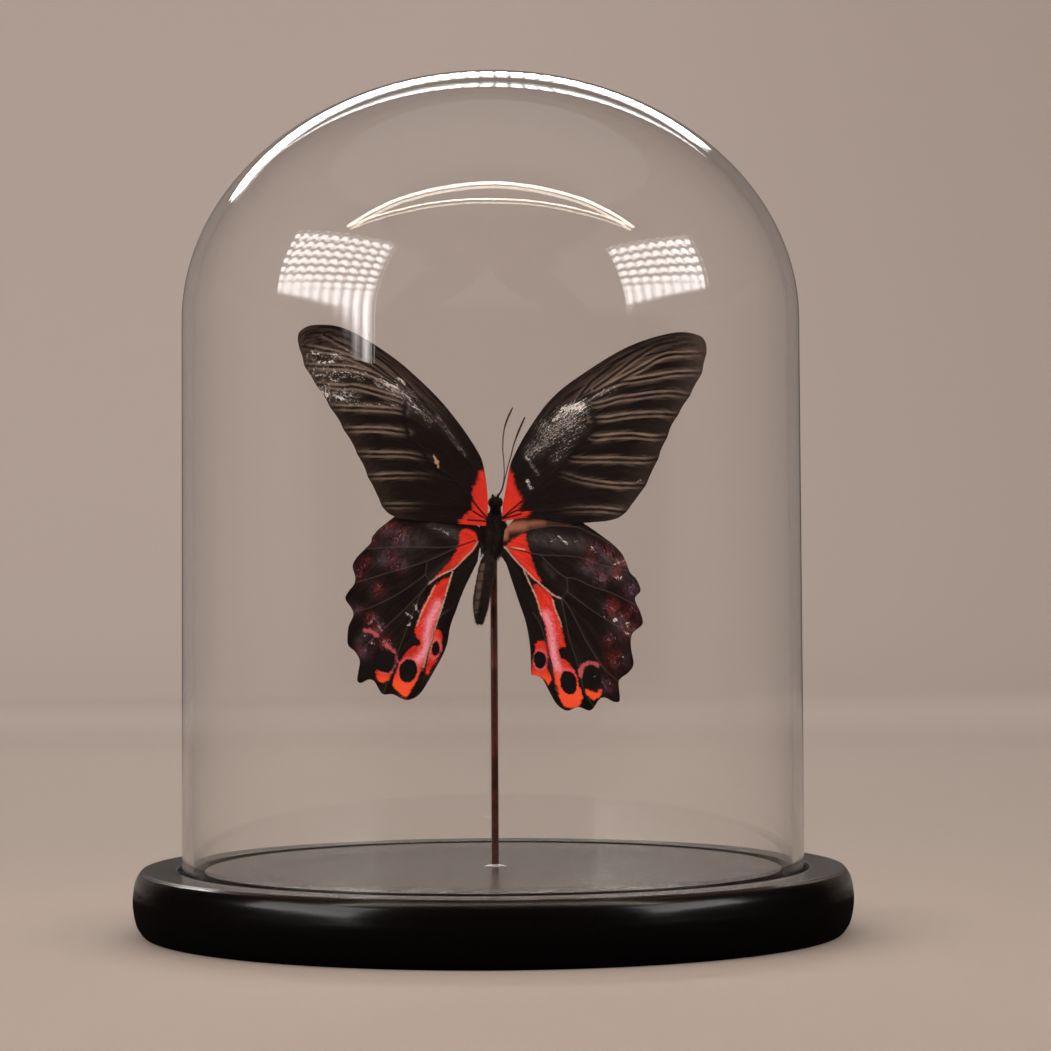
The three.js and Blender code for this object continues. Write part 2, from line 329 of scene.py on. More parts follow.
def lit(finish, where):
    # 1 for what is seen directly or lights the piece; a gloss shows little of the near side of the room
    turns = finish.node("ShaderNodeLightPath", output="Glossy Depth")
    passed = finish.node("ShaderNodeLightPath", output="Transmission Depth")
    near = finish.node("ShaderNodeSeparateXYZ", None, {0: where}, 1)
    front = 1 - finish.rise(near, room["turn"][0], room["turn"][1])
    way = finish.node("ShaderNodeVectorMath", {"operation": "NORMALIZE"}, {0: where})
    ahead = finish.node("ShaderNodeSeparateXYZ", None, {0: way}, 1)
    edge = finish.rise(ahead, *room["behind"]) * (1 - finish.rise(ahead, *room["straight"]))
    outside = finish.node("ShaderNodeMath", {"operation": "LESS_THAN"}, {0: passed, 1: 1})
    outside = outside * (1 - edge)
    dimmed = finish.node("ShaderNodeMath", {"operation": "MAXIMUM"}, {0: front, 1: outside})
    glossy = finish.node("ShaderNodeMath", {"operation": "MINIMUM"}, {0: turns, 1: 1})
    return 1 - glossy * dimmed * (1 - room["inGloss"])


sky = Finish("air", bpy.data.worlds.new("air"), "ShaderNodeOutputWorld")
light = lit(sky, sky.node("ShaderNodeTexCoord")) * air["strength"]
sky.done(sky.node("ShaderNodeBackground", None, {0: (*air["tone"], 1), 1: light}))
bpy.context.scene.world = sky.owner
bpy.context.scene.view_settings.view_transform = "Standard"


def roomFinish():
    finish = Finish("roomPaint")
    where = finish.node("ShaderNodeTexCoord", output=3)
    soft = finish.grain(where, 0.8)
    far = finish.rise(finish.outward(where) + (soft - 0.5) * 0.06, 0.92, 1.61)
    # painted shade: the wall darkens towards its right side
    side = finish.rise(finish.node("ShaderNodeSeparateXYZ", None, {0: where}, 0), -0.1, 0.6)
    wall = finish.mix(side, room["wall"], room["wallShadedSide"])
    colour = finish.mix(far, room["floor"], wall)
    paint = finish.shade({
        "Base Color": colour, "Roughness": 0.85, "Specular IOR Level": 0.1,
        "Emission Color": colour, "Emission Strength": room["glow"],
    })
    dark = finish.node("ShaderNodeEmission", None, {0: (0, 0, 0, 1), 1: 0})
    return finish.done(finish.node("ShaderNodeMixShader", None, {0: lit(finish, where), 1: dark, 2: paint}))


arc = [(room["floorRadius"] + room["sweep"] * math.sin(t), room["sweep"] * (1 - math.cos(t)))
       for t in np.linspace(0, math.pi / 2, 13)]
shell = turned([(0, 0), (room["floorRadius"] / 2, 0), *arc, (arc[-1][0], room["wallTop"])], 96)
bmesh.ops.reverse_faces(shell, faces=shell.faces)
floorMesh = bpy.data.meshes.new("studioFloor")
shell.to_mesh(floorMesh)
shell.free()
floorMesh.shade_smooth()
floorMesh.materials.append(roomFinish())
studioFloor = bpy.data.objects.new("studioFloor", floorMesh)
bpy.context.scene.collection.objects.link(studioFloor)
print("camera, room and lights are set")


# The turned black base

base = {
    "height": 18, "topRadius": 97.2, "footRadius": 97.4, "bulgeRadius": 99.8,
    "grooveInner": 80, "grooveOuter": 87.5, "grooveDepth": 5, "sides": 256, "soften": 0.45,
    # the flat top's warm, patchy tone is partly wear and partly a painted reflection of the wall; the darkest tone is
    # painted shade for the groove
    "lacquer": tint(7, 5, 5), "wornAndSheen": tint(36, 27, 23), "shade": tint(3, 2, 2), "dust": tint(110, 100, 92),
    "gloss": 0.22, "coat": 0.32,
}


def lacquerFinish(name):
    finish = Finish(name)
    where = finish.place()
    cloud = finish.grain(where, 18, 4, 0.6)
    pores = finish.grain(finish.place((40, 900, 900)), 1, 3, 0.7)
    dust = finish.rise(finish.grain(where, 1400, 2, 0.5), 0.74, 0.8)
    ripple = finish.grain(finish.place((1, 1, 3)), 90, 2, 0.5)
    height = finish.node("ShaderNodeSeparateXYZ", None, {0: where}, 2)
    top = finish.rise(height, (base["height"] - 1.5) * mm, (base["height"] - 0.2) * mm)
    # the flat top takes a warm, patchy tone: partly worn lacquer, partly a painted reflection of the wall
    colour = finish.mix(top * (0.5 + cloud * 0.8), base["lacquer"], base["wornAndSheen"])
    colour = finish.mix(dust * 0.2, colour, base["dust"])
    out = finish.outward(where)
    inner, outer = base["grooveInner"] * mm, base["grooveOuter"] * mm
    groove = finish.rise(out, inner - 0.0004, inner) - finish.rise(out, outer, outer + 0.0004)
    rough = base["gloss"] - 0.03 + cloud * 0.1 + groove * 0.5
    # painted shade: the groove is painted near-black
    colour = finish.mix(groove * 0.8, colour, base["shade"])
    fine = finish.relief(pores, 0.12, 0.05)
    wave = ripple * (1 - top * 0.9)
    wavy = finish.node("ShaderNodeBump", None, {0: 0.5, 1: 0.35 * mm, "Height": wave, "Normal": fine})
    sockets = {
        "Base Color": colour, "Roughness": rough, "Normal": wavy, "Specular IOR Level": 0.08,
        "Coat Weight": (1 - top) * base["coat"], "Coat Roughness": 0.17,
    }
    return finish.done(finish.shade(sockets))


def makeBase():
    b = base
    top, floor = b["height"], b["height"] - b["grooveDepth"]
    bulge = curveThrough([(b["footRadius"], 0.8), (98.9, 3.4), (b["bulgeRadius"], 8.4), (99.6, 12),
                          (98.9, 15.4), (b["topRadius"], top)], np.linspace(0, 1, 26))
    bulge[:, 0] = np.minimum(bulge[:, 0], b["bulgeRadius"])
    made = turned([
        (0, 0), (60, 0), (b["footRadius"] - 0.8, 0), *bulge.tolist(), (96, top), (92, top),
        (b["grooveOuter"], top), (b["grooveOuter"], floor), (b["grooveInner"], floor),
        (b["grooveInner"], top), (60, top), (30, top), (6, top), (0, top),
    ], b["sides"], b["soften"])
    settle("turned_base", made, [lacquerFinish("blackLacquer")], ["base"])


makeBase()
print("base is turned")


# The glass bell

dome = {
    "rim": 13.3, "apex": 238.4, "footRadius": 86.2, "shoulderRadius": 85.5, "crownRise": 69.2,
    "wall": 3, "rimWidth": 1.4, "sides": 224, "crownSteps": 44, "wallSteps": 24,
    "index": 1.48, "dye": (0.82, 0.80, 0.74, 1), "density": 10,
}


def glassFinish():
    finish = Finish("clearGlass")
    glass = finish.shade({
        "Base Color": (1, 1, 1, 1), "Roughness": 0, "IOR": dome["index"], "Transmission Weight": 1,
    })
    open_ = finish.node("ShaderNodeBsdfTransparent", None, {0: (0.95, 0.945, 0.93, 1)})
    shadow = finish.node("ShaderNodeLightPath", output=1)
    surface = finish.node("ShaderNodeMixShader", None, {0: shadow, 1: glass, 2: open_})
    inside = finish.node("ShaderNodeVolumeAbsorption", None, {0: dome["dye"], 1: dome["density"]})
    return finish.done(surface, inside)


def makeDome():
    d = dome
    shoulder = d["apex"] - d["crownRise"]
    quarter = np.linspace(0, math.pi / 2, d["crownSteps"])

    def side(inset):
        up = np.insert(np.linspace(d["rim"] + 1, shoulder, d["wallSteps"]), 1, d["rim"] + 1.3)
        foot, top = d["footRadius"] - inset, d["shoulderRadius"] - inset
        wall = [(foot + (top - foot) * (z - up[0]) / (shoulder - up[0]), z) for z in up[:-1]]
        crown = [(top * math.cos(t), shoulder + (d["crownRise"] - inset) * math.sin(t)) for t in quarter]
        return wall + crown[:-1] + [(0, d["apex"] - inset)]

    inner, outer = side(d["wall"]), side(0)
    middle = d["footRadius"] - d["wall"] / 2
    lip = [(middle - d["rimWidth"] / 2, d["rim"]), (middle + d["rimWidth"] / 2, d["rim"])]
    made = turned(inner[::-1] + lip + outer, d["sides"])
    settle("glass_bell", made, [glassFinish()], ["glass_dome"], False)


makeDome()
print("glass bell is blown")


# The metal rod and the dab of glue at its foot

rod = {"x": 0.5, "y": -0.5, "radius": 1, "foot": 10, "top": 109.5, "brown": tint(102, 53, 44), "dark": tint(60, 32, 27)}
glue = {"radius": 3.2, "foot": 18.1, "height": 0.5, "cloud": tint(168, 158, 150)}


def rodFinish():
    finish = Finish("brownMetal")
    streak = finish.grain(finish.place((900, 900, 25)), 1, 3, 0.6)
    stain = finish.grain(finish.place(), 160, 3, 0.6)
    colour = finish.mix(finish.rise(stain, 0.35, 0.7), rod["dark"], rod["brown"])
    sockets = {
        "Base Color": colour, "Metallic": 0.85, "Roughness": 0.24 + streak * 0.16,
        "Normal": finish.relief(streak, 0.2, 0.02),
    }
    return finish.done(finish.shade(sockets))


def glueFinish():
    finish = Finish("clearGlue")
    cloud = finish.grain(finish.place(), 700, 3, 0.6)
    colour = finish.mix(cloud, glue["cloud"], tint(206, 199, 191))
    sockets = {
        "Base Color": colour, "Roughness": 0.16 + cloud * 0.25, "IOR": 1.46, "Transmission Weight": 0.7,
        "Normal": finish.relief(cloud, 0.3, 0.1),
    }
    return finish.done(finish.shade(sockets))


def makeRod():
    r = rod
    made = turned([(0, r["foot"]), (r["radius"], r["foot"]), (r["radius"], 60), (r["radius"], r["top"] - 0.4),
                   (r["radius"] * 0.8, r["top"]), (0, r["top"])], 40, 0.08)
    bmesh.ops.translate(made, verts=made.verts, vec=(r["x"] * mm, r["y"] * mm, 0))
    settle("brown_rod", made, [rodFinish()], ["rod"])
    g = glue
    top = g["foot"] + g["height"]
    made = turned([(r["radius"] + 0.02, g["foot"]), (r["radius"] + 0.02, top), (1.35, top - 0.08), (2.0, top - 0.25),
                   (2.7, top - 0.36), (g["radius"], g["foot"] + 0.03), (g["radius"], g["foot"]),
                   (r["radius"] + 0.02, g["foot"])], 72)
    for point in made.verts:
        out = Vector((point.co.x, point.co.y, 0))
        if out.length > 1.2 * mm:
            swell = 0.16 * noise.noise(out.normalized() * 2.3) + 0.07 * noise.noise(out.normalized() * 7)
            point.co += out * (swell - 0.1)
    bmesh.ops.translate(made, verts=made.verts, vec=(r["x"] * mm, r["y"] * mm, 0))
    settle("foot_glue", made, [glueFinish()], ["glue_ring"])


makeRod()
print("rod and glue are made")


# The butterfly's wings. Outlines, veins and patches are (x, z) from the middle of the thorax.

butterfly = Vector((0.4, -2.6, 111.5))
wing = {
    "thickness": 0.16, "gap": 0.35, "rootOut": 2.3, "rootForward": 4, "lift": 0.19, "droop": 0.0009,
    "veinRise": 0.07, "veinWidth": 0.32, "pleat": 0.16, "pleatReach": 1.6, "scallop": 0.32,
}

foreLeft = {
    "root": [(-2, 0.9), (-1.4, 4.5), (-1.4, 8.7), (-1.7, 12.5), (-2.4, 17)],
    "costa": [(-2.4, 17), (-3.8, 21), (-9.3, 29.4), (-16.4, 37.8), (-27.2, 47.5), (-39.8, 55.1),
              (-48.1, 56.3), (-52.3, 54.7), (-53.2, 51.7)],
    "inner": [(-2, 0.9), (-9, 1.5), (-17.4, 2.2), (-26.2, 3.2)],
    "margin": [(-26.2, 3.2), (-29.2, 4.8), (-31.6, 8.8), (-34.1, 14.3), (-37.4, 21.4), (-41.6, 29),
               (-47, 37.9), (-51.1, 44.6), (-53.2, 51.7)],
    "veins": [
        [(-6, 18), (-13.1, 28.2), (-22, 38.6), (-28, 44.6), (-34, 49.2), (-41, 53.2)],
        [(-23.5, 38.6), (-30, 43.8), (-37, 48.8), (-46, 53.6)],
        [(-24, 38), (-27.9, 41.3), (-34.5, 45.3), (-42.5, 48.5), (-52, 50.4)],
        [(-23.9, 37.3), (-30.6, 41.9), (-38.5, 44.3), (-45.4, 44.8), (-51.4, 45)],
        [(-23.2, 35.2), (-29.3, 37.1), (-37.2, 39.2), (-41.2, 39.2), (-47.8, 40)],
        [(-23.9, 32.3), (-29.3, 33.1), (-38.6, 33.5), (-44.5, 33.7)],
        [(-22.9, 26.6), (-28, 27.3), (-33.3, 27.6), (-40.8, 27.5)],
        [(-16.1, 19.2), (-22.7, 20.5), (-30.7, 20.8), (-37.2, 20.9)],
        [(-10.4, 13.2), (-19.4, 14.8), (-29, 14.8), (-34.2, 14.5)],
        [(-2.2, 2), (-6.1, 6), (-14.1, 6.5), (-22.1, 6.6), (-30.4, 6.6)],
        [(-2.1, 3.8), (-6.1, 8.9), (-11.4, 14.3), (-16.7, 18), (-20.1, 22.9), (-23, 25.5)],
        [(-23, 25.5), (-24.1, 31.9), (-23.4, 37)],
        [(-2.2, 13), (-6, 18), (-8.7, 21.2), (-13.1, 28.2), (-17.3, 32.8), (-22.6, 36.8), (-24, 38)],
    ],
    "red": [[(-2.3, 16.1), (-1.2, 11.6), (-1, 3.8), (-1.6, 0.5), (-6.4, 0.4), (-9.3, 1.4), (-7.7, 3.8),
             (-5.3, 6.2), (-5.5, 10.8), (-4.2, 13.2), (-3.6, 15.9)]],
    "redVeins": [[(-1.6, 3.2), (-4, 5.9), (-6.1, 8.9)], [(-1.6, 2.6), (-5.4, 5)], [(-1.6, 2.2), (-7, 2.6)]],
    "wornAndSheen": [((-49, 47.6), (-40, 47.6), 2.2, 0.3), ((-48.5, 43.5), (-36, 42.8), 2.2, 0.38),
             ((-46.5, 38.2), (-39, 36.6), 2.6, 0.5), ((-31, 40.8), (-22.5, 36), 2, 0.5),
             ((-22, 34.4), (-17, 30), 1.6, 0.34), ((-36, 34.4), (-26, 34), 0.8, 0.36),
             ((-15.6, 31.5), (-7.6, 20.5), 0.7, 0.3)],
    "chipsAndGlints": [((-48.9, 48.4), (-47.8, 48.2), 0.5, 0.8), ((-43.7, 48.3), (-42.4, 48.3), 0.5, 0.8),
              ((-47.4, 46), (-43.6, 46.2), 0.4, 0.75), ((-47.8, 42.5), (-46.6, 42.6), 0.45, 0.7),
              ((-42.8, 43.3), (-38.6, 43.1), 0.4, 0.65), ((-44, 41.2), (-42, 41), 0.45, 0.7),
              ((-46.2, 37.8), (-45, 37.2), 0.7, 0.75), ((-42.5, 36.6), (-41, 36.1), 0.7, 0.8),
              ((-29.4, 40.1), (-26.4, 39.4), 0.65, 0.85), ((-25.8, 41.6), (-24, 40.3), 0.5, 0.75),
              ((-24.2, 37), (-22.4, 35.9), 0.6, 0.75), ((-21.4, 34), (-20.4, 33.2), 0.5, 0.7)],
    "tan": [((-16.1, 20.3), (-14.9, 17.2), 0.4, 0.9), ((-15.7, 18.4), (-15, 18.6), 0.55, 0.9)],
}

foreRight = {
    "root": [(2.6, 2.2), (2.7, 6.1), (3.4, 10.3), (4.4, 15.8)],
    "costa": [(4.4, 15.8), (5.6, 19.6), (9.8, 27.2), (16.2, 35.8), (24.6, 42.4), (37.3, 49.9),
              (49.8, 53.6), (56.9, 52.7), (58.9, 49.5)],
    "inner": [(2.6, 2.2), (10.1, 3.1), (16, 2.2), (21.1, 1.4), (26.1, 1.7), (31.6, 2.1)],
    "margin": [(31.6, 2.1), (35.3, 3.4), (39.5, 8), (43.1, 13.8), (45.7, 19.7), (49.7, 28.9),
               (53.5, 35.2), (57.5, 42.7), (58.9, 49.5)],
    "veins": [
        [(23.9, 36.2), (27.9, 41), (33.5, 45.2), (38.9, 48.6), (44.7, 51.2), (50, 52.4)],
        [(28, 38.4), (34.6, 43.1), (39.9, 47), (45.2, 50.1), (52.5, 51.6)],
        [(26.6, 36.4), (33.5, 40.1), (37.2, 42), (41.2, 44.1), (45.2, 46.4), (49.2, 47.6), (58.6, 47.9)],
        [(26.4, 36), (31.4, 38.8), (35.6, 40.2), (40.4, 40.9), (50.5, 42.4), (57.3, 42.4)],
        [(25.4, 34.6), (28.2, 33.9), (34.5, 35.5), (39.9, 36.2), (45.2, 36.9), (49.7, 36.9), (54.2, 36.2)],
        [(27, 30), (31.9, 30.2), (35.8, 30.8), (43.8, 31.4), (51, 31)],
        [(27, 25.2), (29.2, 25), (34.5, 25.5), (39.8, 25.4), (43.8, 24.9), (48.2, 25)],
        [(20.8, 19.6), (23.8, 19), (34.5, 18.9), (41.1, 18.6), (45.6, 19)],
        [(15.4, 14), (18, 15.2), (24.6, 13.3), (33.9, 11.9), (42.3, 11.9)],
        [(3.6, 2.8), (9.9, 4.4), (20.6, 5.2), (28.6, 5.3), (37, 4.4)],
        [(3, 3.1), (10, 9.4), (12.1, 11.3), (18, 16.3), (23.3, 22.7), (26.8, 25.9), (28.2, 29.1)],
        [(28.2, 29.2), (26.9, 32.8), (25.3, 35)],
        [(3.6, 14.3), (9.8, 22.3), (15.4, 28.9), (20.7, 33.4), (23.9, 35.5), (26.6, 36.4)],
    ],
    "red": [[(5, 16.6), (3.6, 15), (2.6, 8.9), (2, 1.8), (7.8, 2.8), (9.9, 3.8), (9.5, 4.6), (7.8, 4.9),
             (7.3, 6), (8.1, 8.1), (7.2, 9.7), (6, 12.7)]],
    "redVeins": [[(2.8, 3.3), (6.4, 6.4), (8.6, 8.2)], [(2.8, 3.1), (6, 4.9), (7.6, 5.2)], [(2.8, 2.9), (7.8, 4.2)]],
    "wornAndSheen": [((19.6, 31.4), (24.6, 33.4), 2.2, 0.78), ((15.4, 26.6), (22.6, 30.4), 3.4, 0.55),
             ((10.6, 21.4), (15.6, 24.4), 2.2, 0.45), ((9.2, 20.6), (12.4, 15.2), 0.6, 0.42),
             ((17, 19.4), (24.6, 28.4), 1.5, 0.34), ((27.4, 36), (33.5, 38.6), 1.1, 0.3)],
    "chipsAndGlints": [((9.5, 13.4), (9.9, 12.9), 0.5, 0.85), ((10.1, 12), (10.5, 11.4), 0.5, 0.85),
              ((9.3, 19.8), (9.9, 19.2), 0.5, 0.75), ((19.8, 32.6), (24.6, 33.6), 1.5, 0.95),
              ((17, 29.8), (18.6, 31), 0.7, 0.7), ((12.4, 22), (13.2, 21.4), 0.4, 0.6),
              ((39.4, 12.6), (40.6, 13.4), 0.25, 0.55)],
    "tan": [],
}

hindLeft = {
    "root": [(-4.3, -8.9), (-3.6, -4.5), (-2.7, -0.6)],
    "costa": [(-2.7, -0.6), (-8, 4.2), (-16, 6.4), (-24, 5.4), (-31.4, 0.2)],
    "inner": [(-4.3, -8.9), (-7.9, -16), (-10.3, -22.2), (-11.9, -26.8), (-13, -32.2), (-15.8, -37.2), (-18.1, -40.7)],
    "margin": [(-18.1, -40.7), (-19.3, -43.8), (-21.2, -45.9), (-23.5, -46.8), (-25.1, -46.5), (-27.8, -45.2),
               (-30.6, -45), (-32.7, -41.7), (-34.3, -41.1), (-36.4, -42), (-37.4, -41.2), (-37.1, -38.9),
               (-36.7, -35.9), (-37.9, -33.5), (-39.8, -31.6), (-40, -28.9), (-39.6, -26.2), (-38.4, -23.5),
               (-38.8, -21.6), (-40.5, -18.9), (-39.7, -16.9), (-38.2, -15), (-37.8, -12.9), (-38.5, -10),
               (-37.5, -7.7), (-35.3, -5.4), (-33.5, -3.5), (-33.1, -1.9), (-31.4, 0.2)],
    "veins": [
        [(-5, -3), (-9.1, -4.4), (-14.2, -4.9), (-20.8, -4.8), (-27.5, -4.8), (-34.8, -5.2)],
        [(-9.1, -4.4), (-12.5, -6.2), (-18, -8.6), (-23.8, -10.4), (-30.8, -12.4), (-38, -14.6)],
        [(-18, -8.6), (-18.6, -12), (-17.5, -14.5)],
        [(-18.6, -12.4), (-22.2, -15), (-27.5, -18.4), (-33, -21), (-38.6, -22.8)],
        [(-17.5, -14.5), (-21, -18.4), (-26, -23.4), (-31, -28), (-36.8, -33.6), (-37.4, -35.6)],
        [(-17.9, -14.8), (-20.4, -18.6), (-22.4, -23.6), (-24.5, -29), (-26.6, -34.6), (-28.2, -40), (-30.4, -44.8)],
        [(-12.4, -22), (-15.3, -24.8), (-16.6, -29.2), (-17.6, -32.2), (-18.6, -35.8), (-19.4, -39)],
    ],
    "cream": [
        [(-4.2, -3.4), (-5.8, -5.9), (-8.2, -8.2), (-10.8, -10.8), (-14.9, -12.8), (-17.8, -14.9)],
        [(-11.2, -11.6), (-12.9, -17.2), (-14.2, -21.5), (-15.6, -25.5), (-16.9, -29.8), (-18, -33.2), (-19.3, -37.8)],
        [(-16, -15.4), (-17.9, -19.1), (-19.6, -22.5), (-21, -26.3)],
    ],
    "red": [
        [(-8.8, -0.5), (-5.8, -0.2), (-4.4, -2.9), (-5.5, -5.4), (-8.8, -8.7), (-11.5, -10.8), (-15.9, -13.3),
         (-14.2, -11.3), (-12.2, -9.3), (-10.8, -6.8), (-9.5, -4.5)],
        [(-11.9, -13.3), (-14.9, -14.5), (-16.4, -15.8), (-17.9, -18.8), (-19.6, -22.1), (-20.9, -25.5), (-21.6, -28.5),
         (-20.1, -31.3), (-22.3, -32.5), (-24.1, -33.9), (-26, -36.6), (-27.3, -40.1), (-27.5, -42.7), (-26.3, -44.7),
         (-24.5, -46), (-23.4, -45.3), (-21, -40.8), (-19.3, -37.5), (-18, -32.8), (-16.9, -29.5), (-15.6, -25.5),
         (-14.2, -20.8), (-12.9, -16.8)],
        [(-15.8, -27.8), (-14.3, -28.4), (-14.1, -30.9), (-14.6, -33.5), (-15.6, -36.2), (-17, -37.8), (-18, -39.9),
         (-18.8, -39), (-18, -35.5), (-17, -31.5)],
        [(-32.3, -39), (-31, -38.7), (-28.6, -39.7), (-28.6, -41.1), (-30.6, -41.8), (-32.1, -40.7)],
    ],
    "eyes": [(-23.5, -38.8, 2.5, 3.2, 12), (-15.9, -32.9, 1.1, 2.1, 8), (-29.8, -36.2, 2.6, 2.9, 0)],
    "sheen": [[(-15.2, -20.5), (-17.4, -25), (-18.2, -29), (-18.6, -33), (-20.8, -36)], 1.7],
    "arcs": [[(-29.6, -31.6), (-27.8, -33.1), (-26.6, -34.7), (-27, -37.2), (-28.3, -39.4)],
             [(-35.4, -27.6), (-33.6, -27.9), (-31.6, -29)]],
    "blooms": [(-33.4, -24.6, 1.5, 0.9), (-31.2, -27, 1.5, 0.9), (-31.8, -16.2, 2.2, 0.4), (-28.4, -8.2, 2.2, 0.5),
               (-25.4, -1.6, 2.2, 0.6), (-29.4, 0.6, 2.8, 0.48), (-33.4, -2.6, 1.6, 0.45), (-35.6, -33.5, 2.2, 0.48),
               (-37.5, -22.1, 1.6, 0.45), (-37, -12, 2.2, 0.36), (-29.6, -31.2, 1.6, 0.85), (-33.2, -31, 1, 0.45),
               (-34.8, -8.6, 1.8, 0.36), (-25.6, -9.8, 2, 0.34)],
    "greySheen": [((-9, -1.8), (-17, 1.2), 1.5, 0.75), ((-20, -3), (-30, -6), 2.8, 0.45), ((-24, -9.4), (-31, -8.4), 1.6, 0.4),
             ((-12, -8.4), (-17, -13), 0.9, 0.35), ((-33.6, -27.4), (-37, -30.4), 1.2, 0.35)],
    "chipsAndGlints": [((-24, -23), (-22.4, -23.9), 0.45, 0.9), ((-23.5, -26.3), (-23.1, -26), 0.4, 0.9),
              ((-21.6, -20.6), (-20.5, -22.6), 0.5, 0.75), ((-16.4, 0.4), (-14.6, 0), 0.4, 0.7),
              ((-13.6, -0.6), (-12.4, -1), 0.4, 0.7), ((-10.8, -2), (-10, -2.6), 0.4, 0.6),
              ((-37, -29.6), (-35, -29), 0.35, 0.6), ((-33.3, -31.2), (-32.8, -30.9), 0.4, 0.6)],
    "tan": [],
}

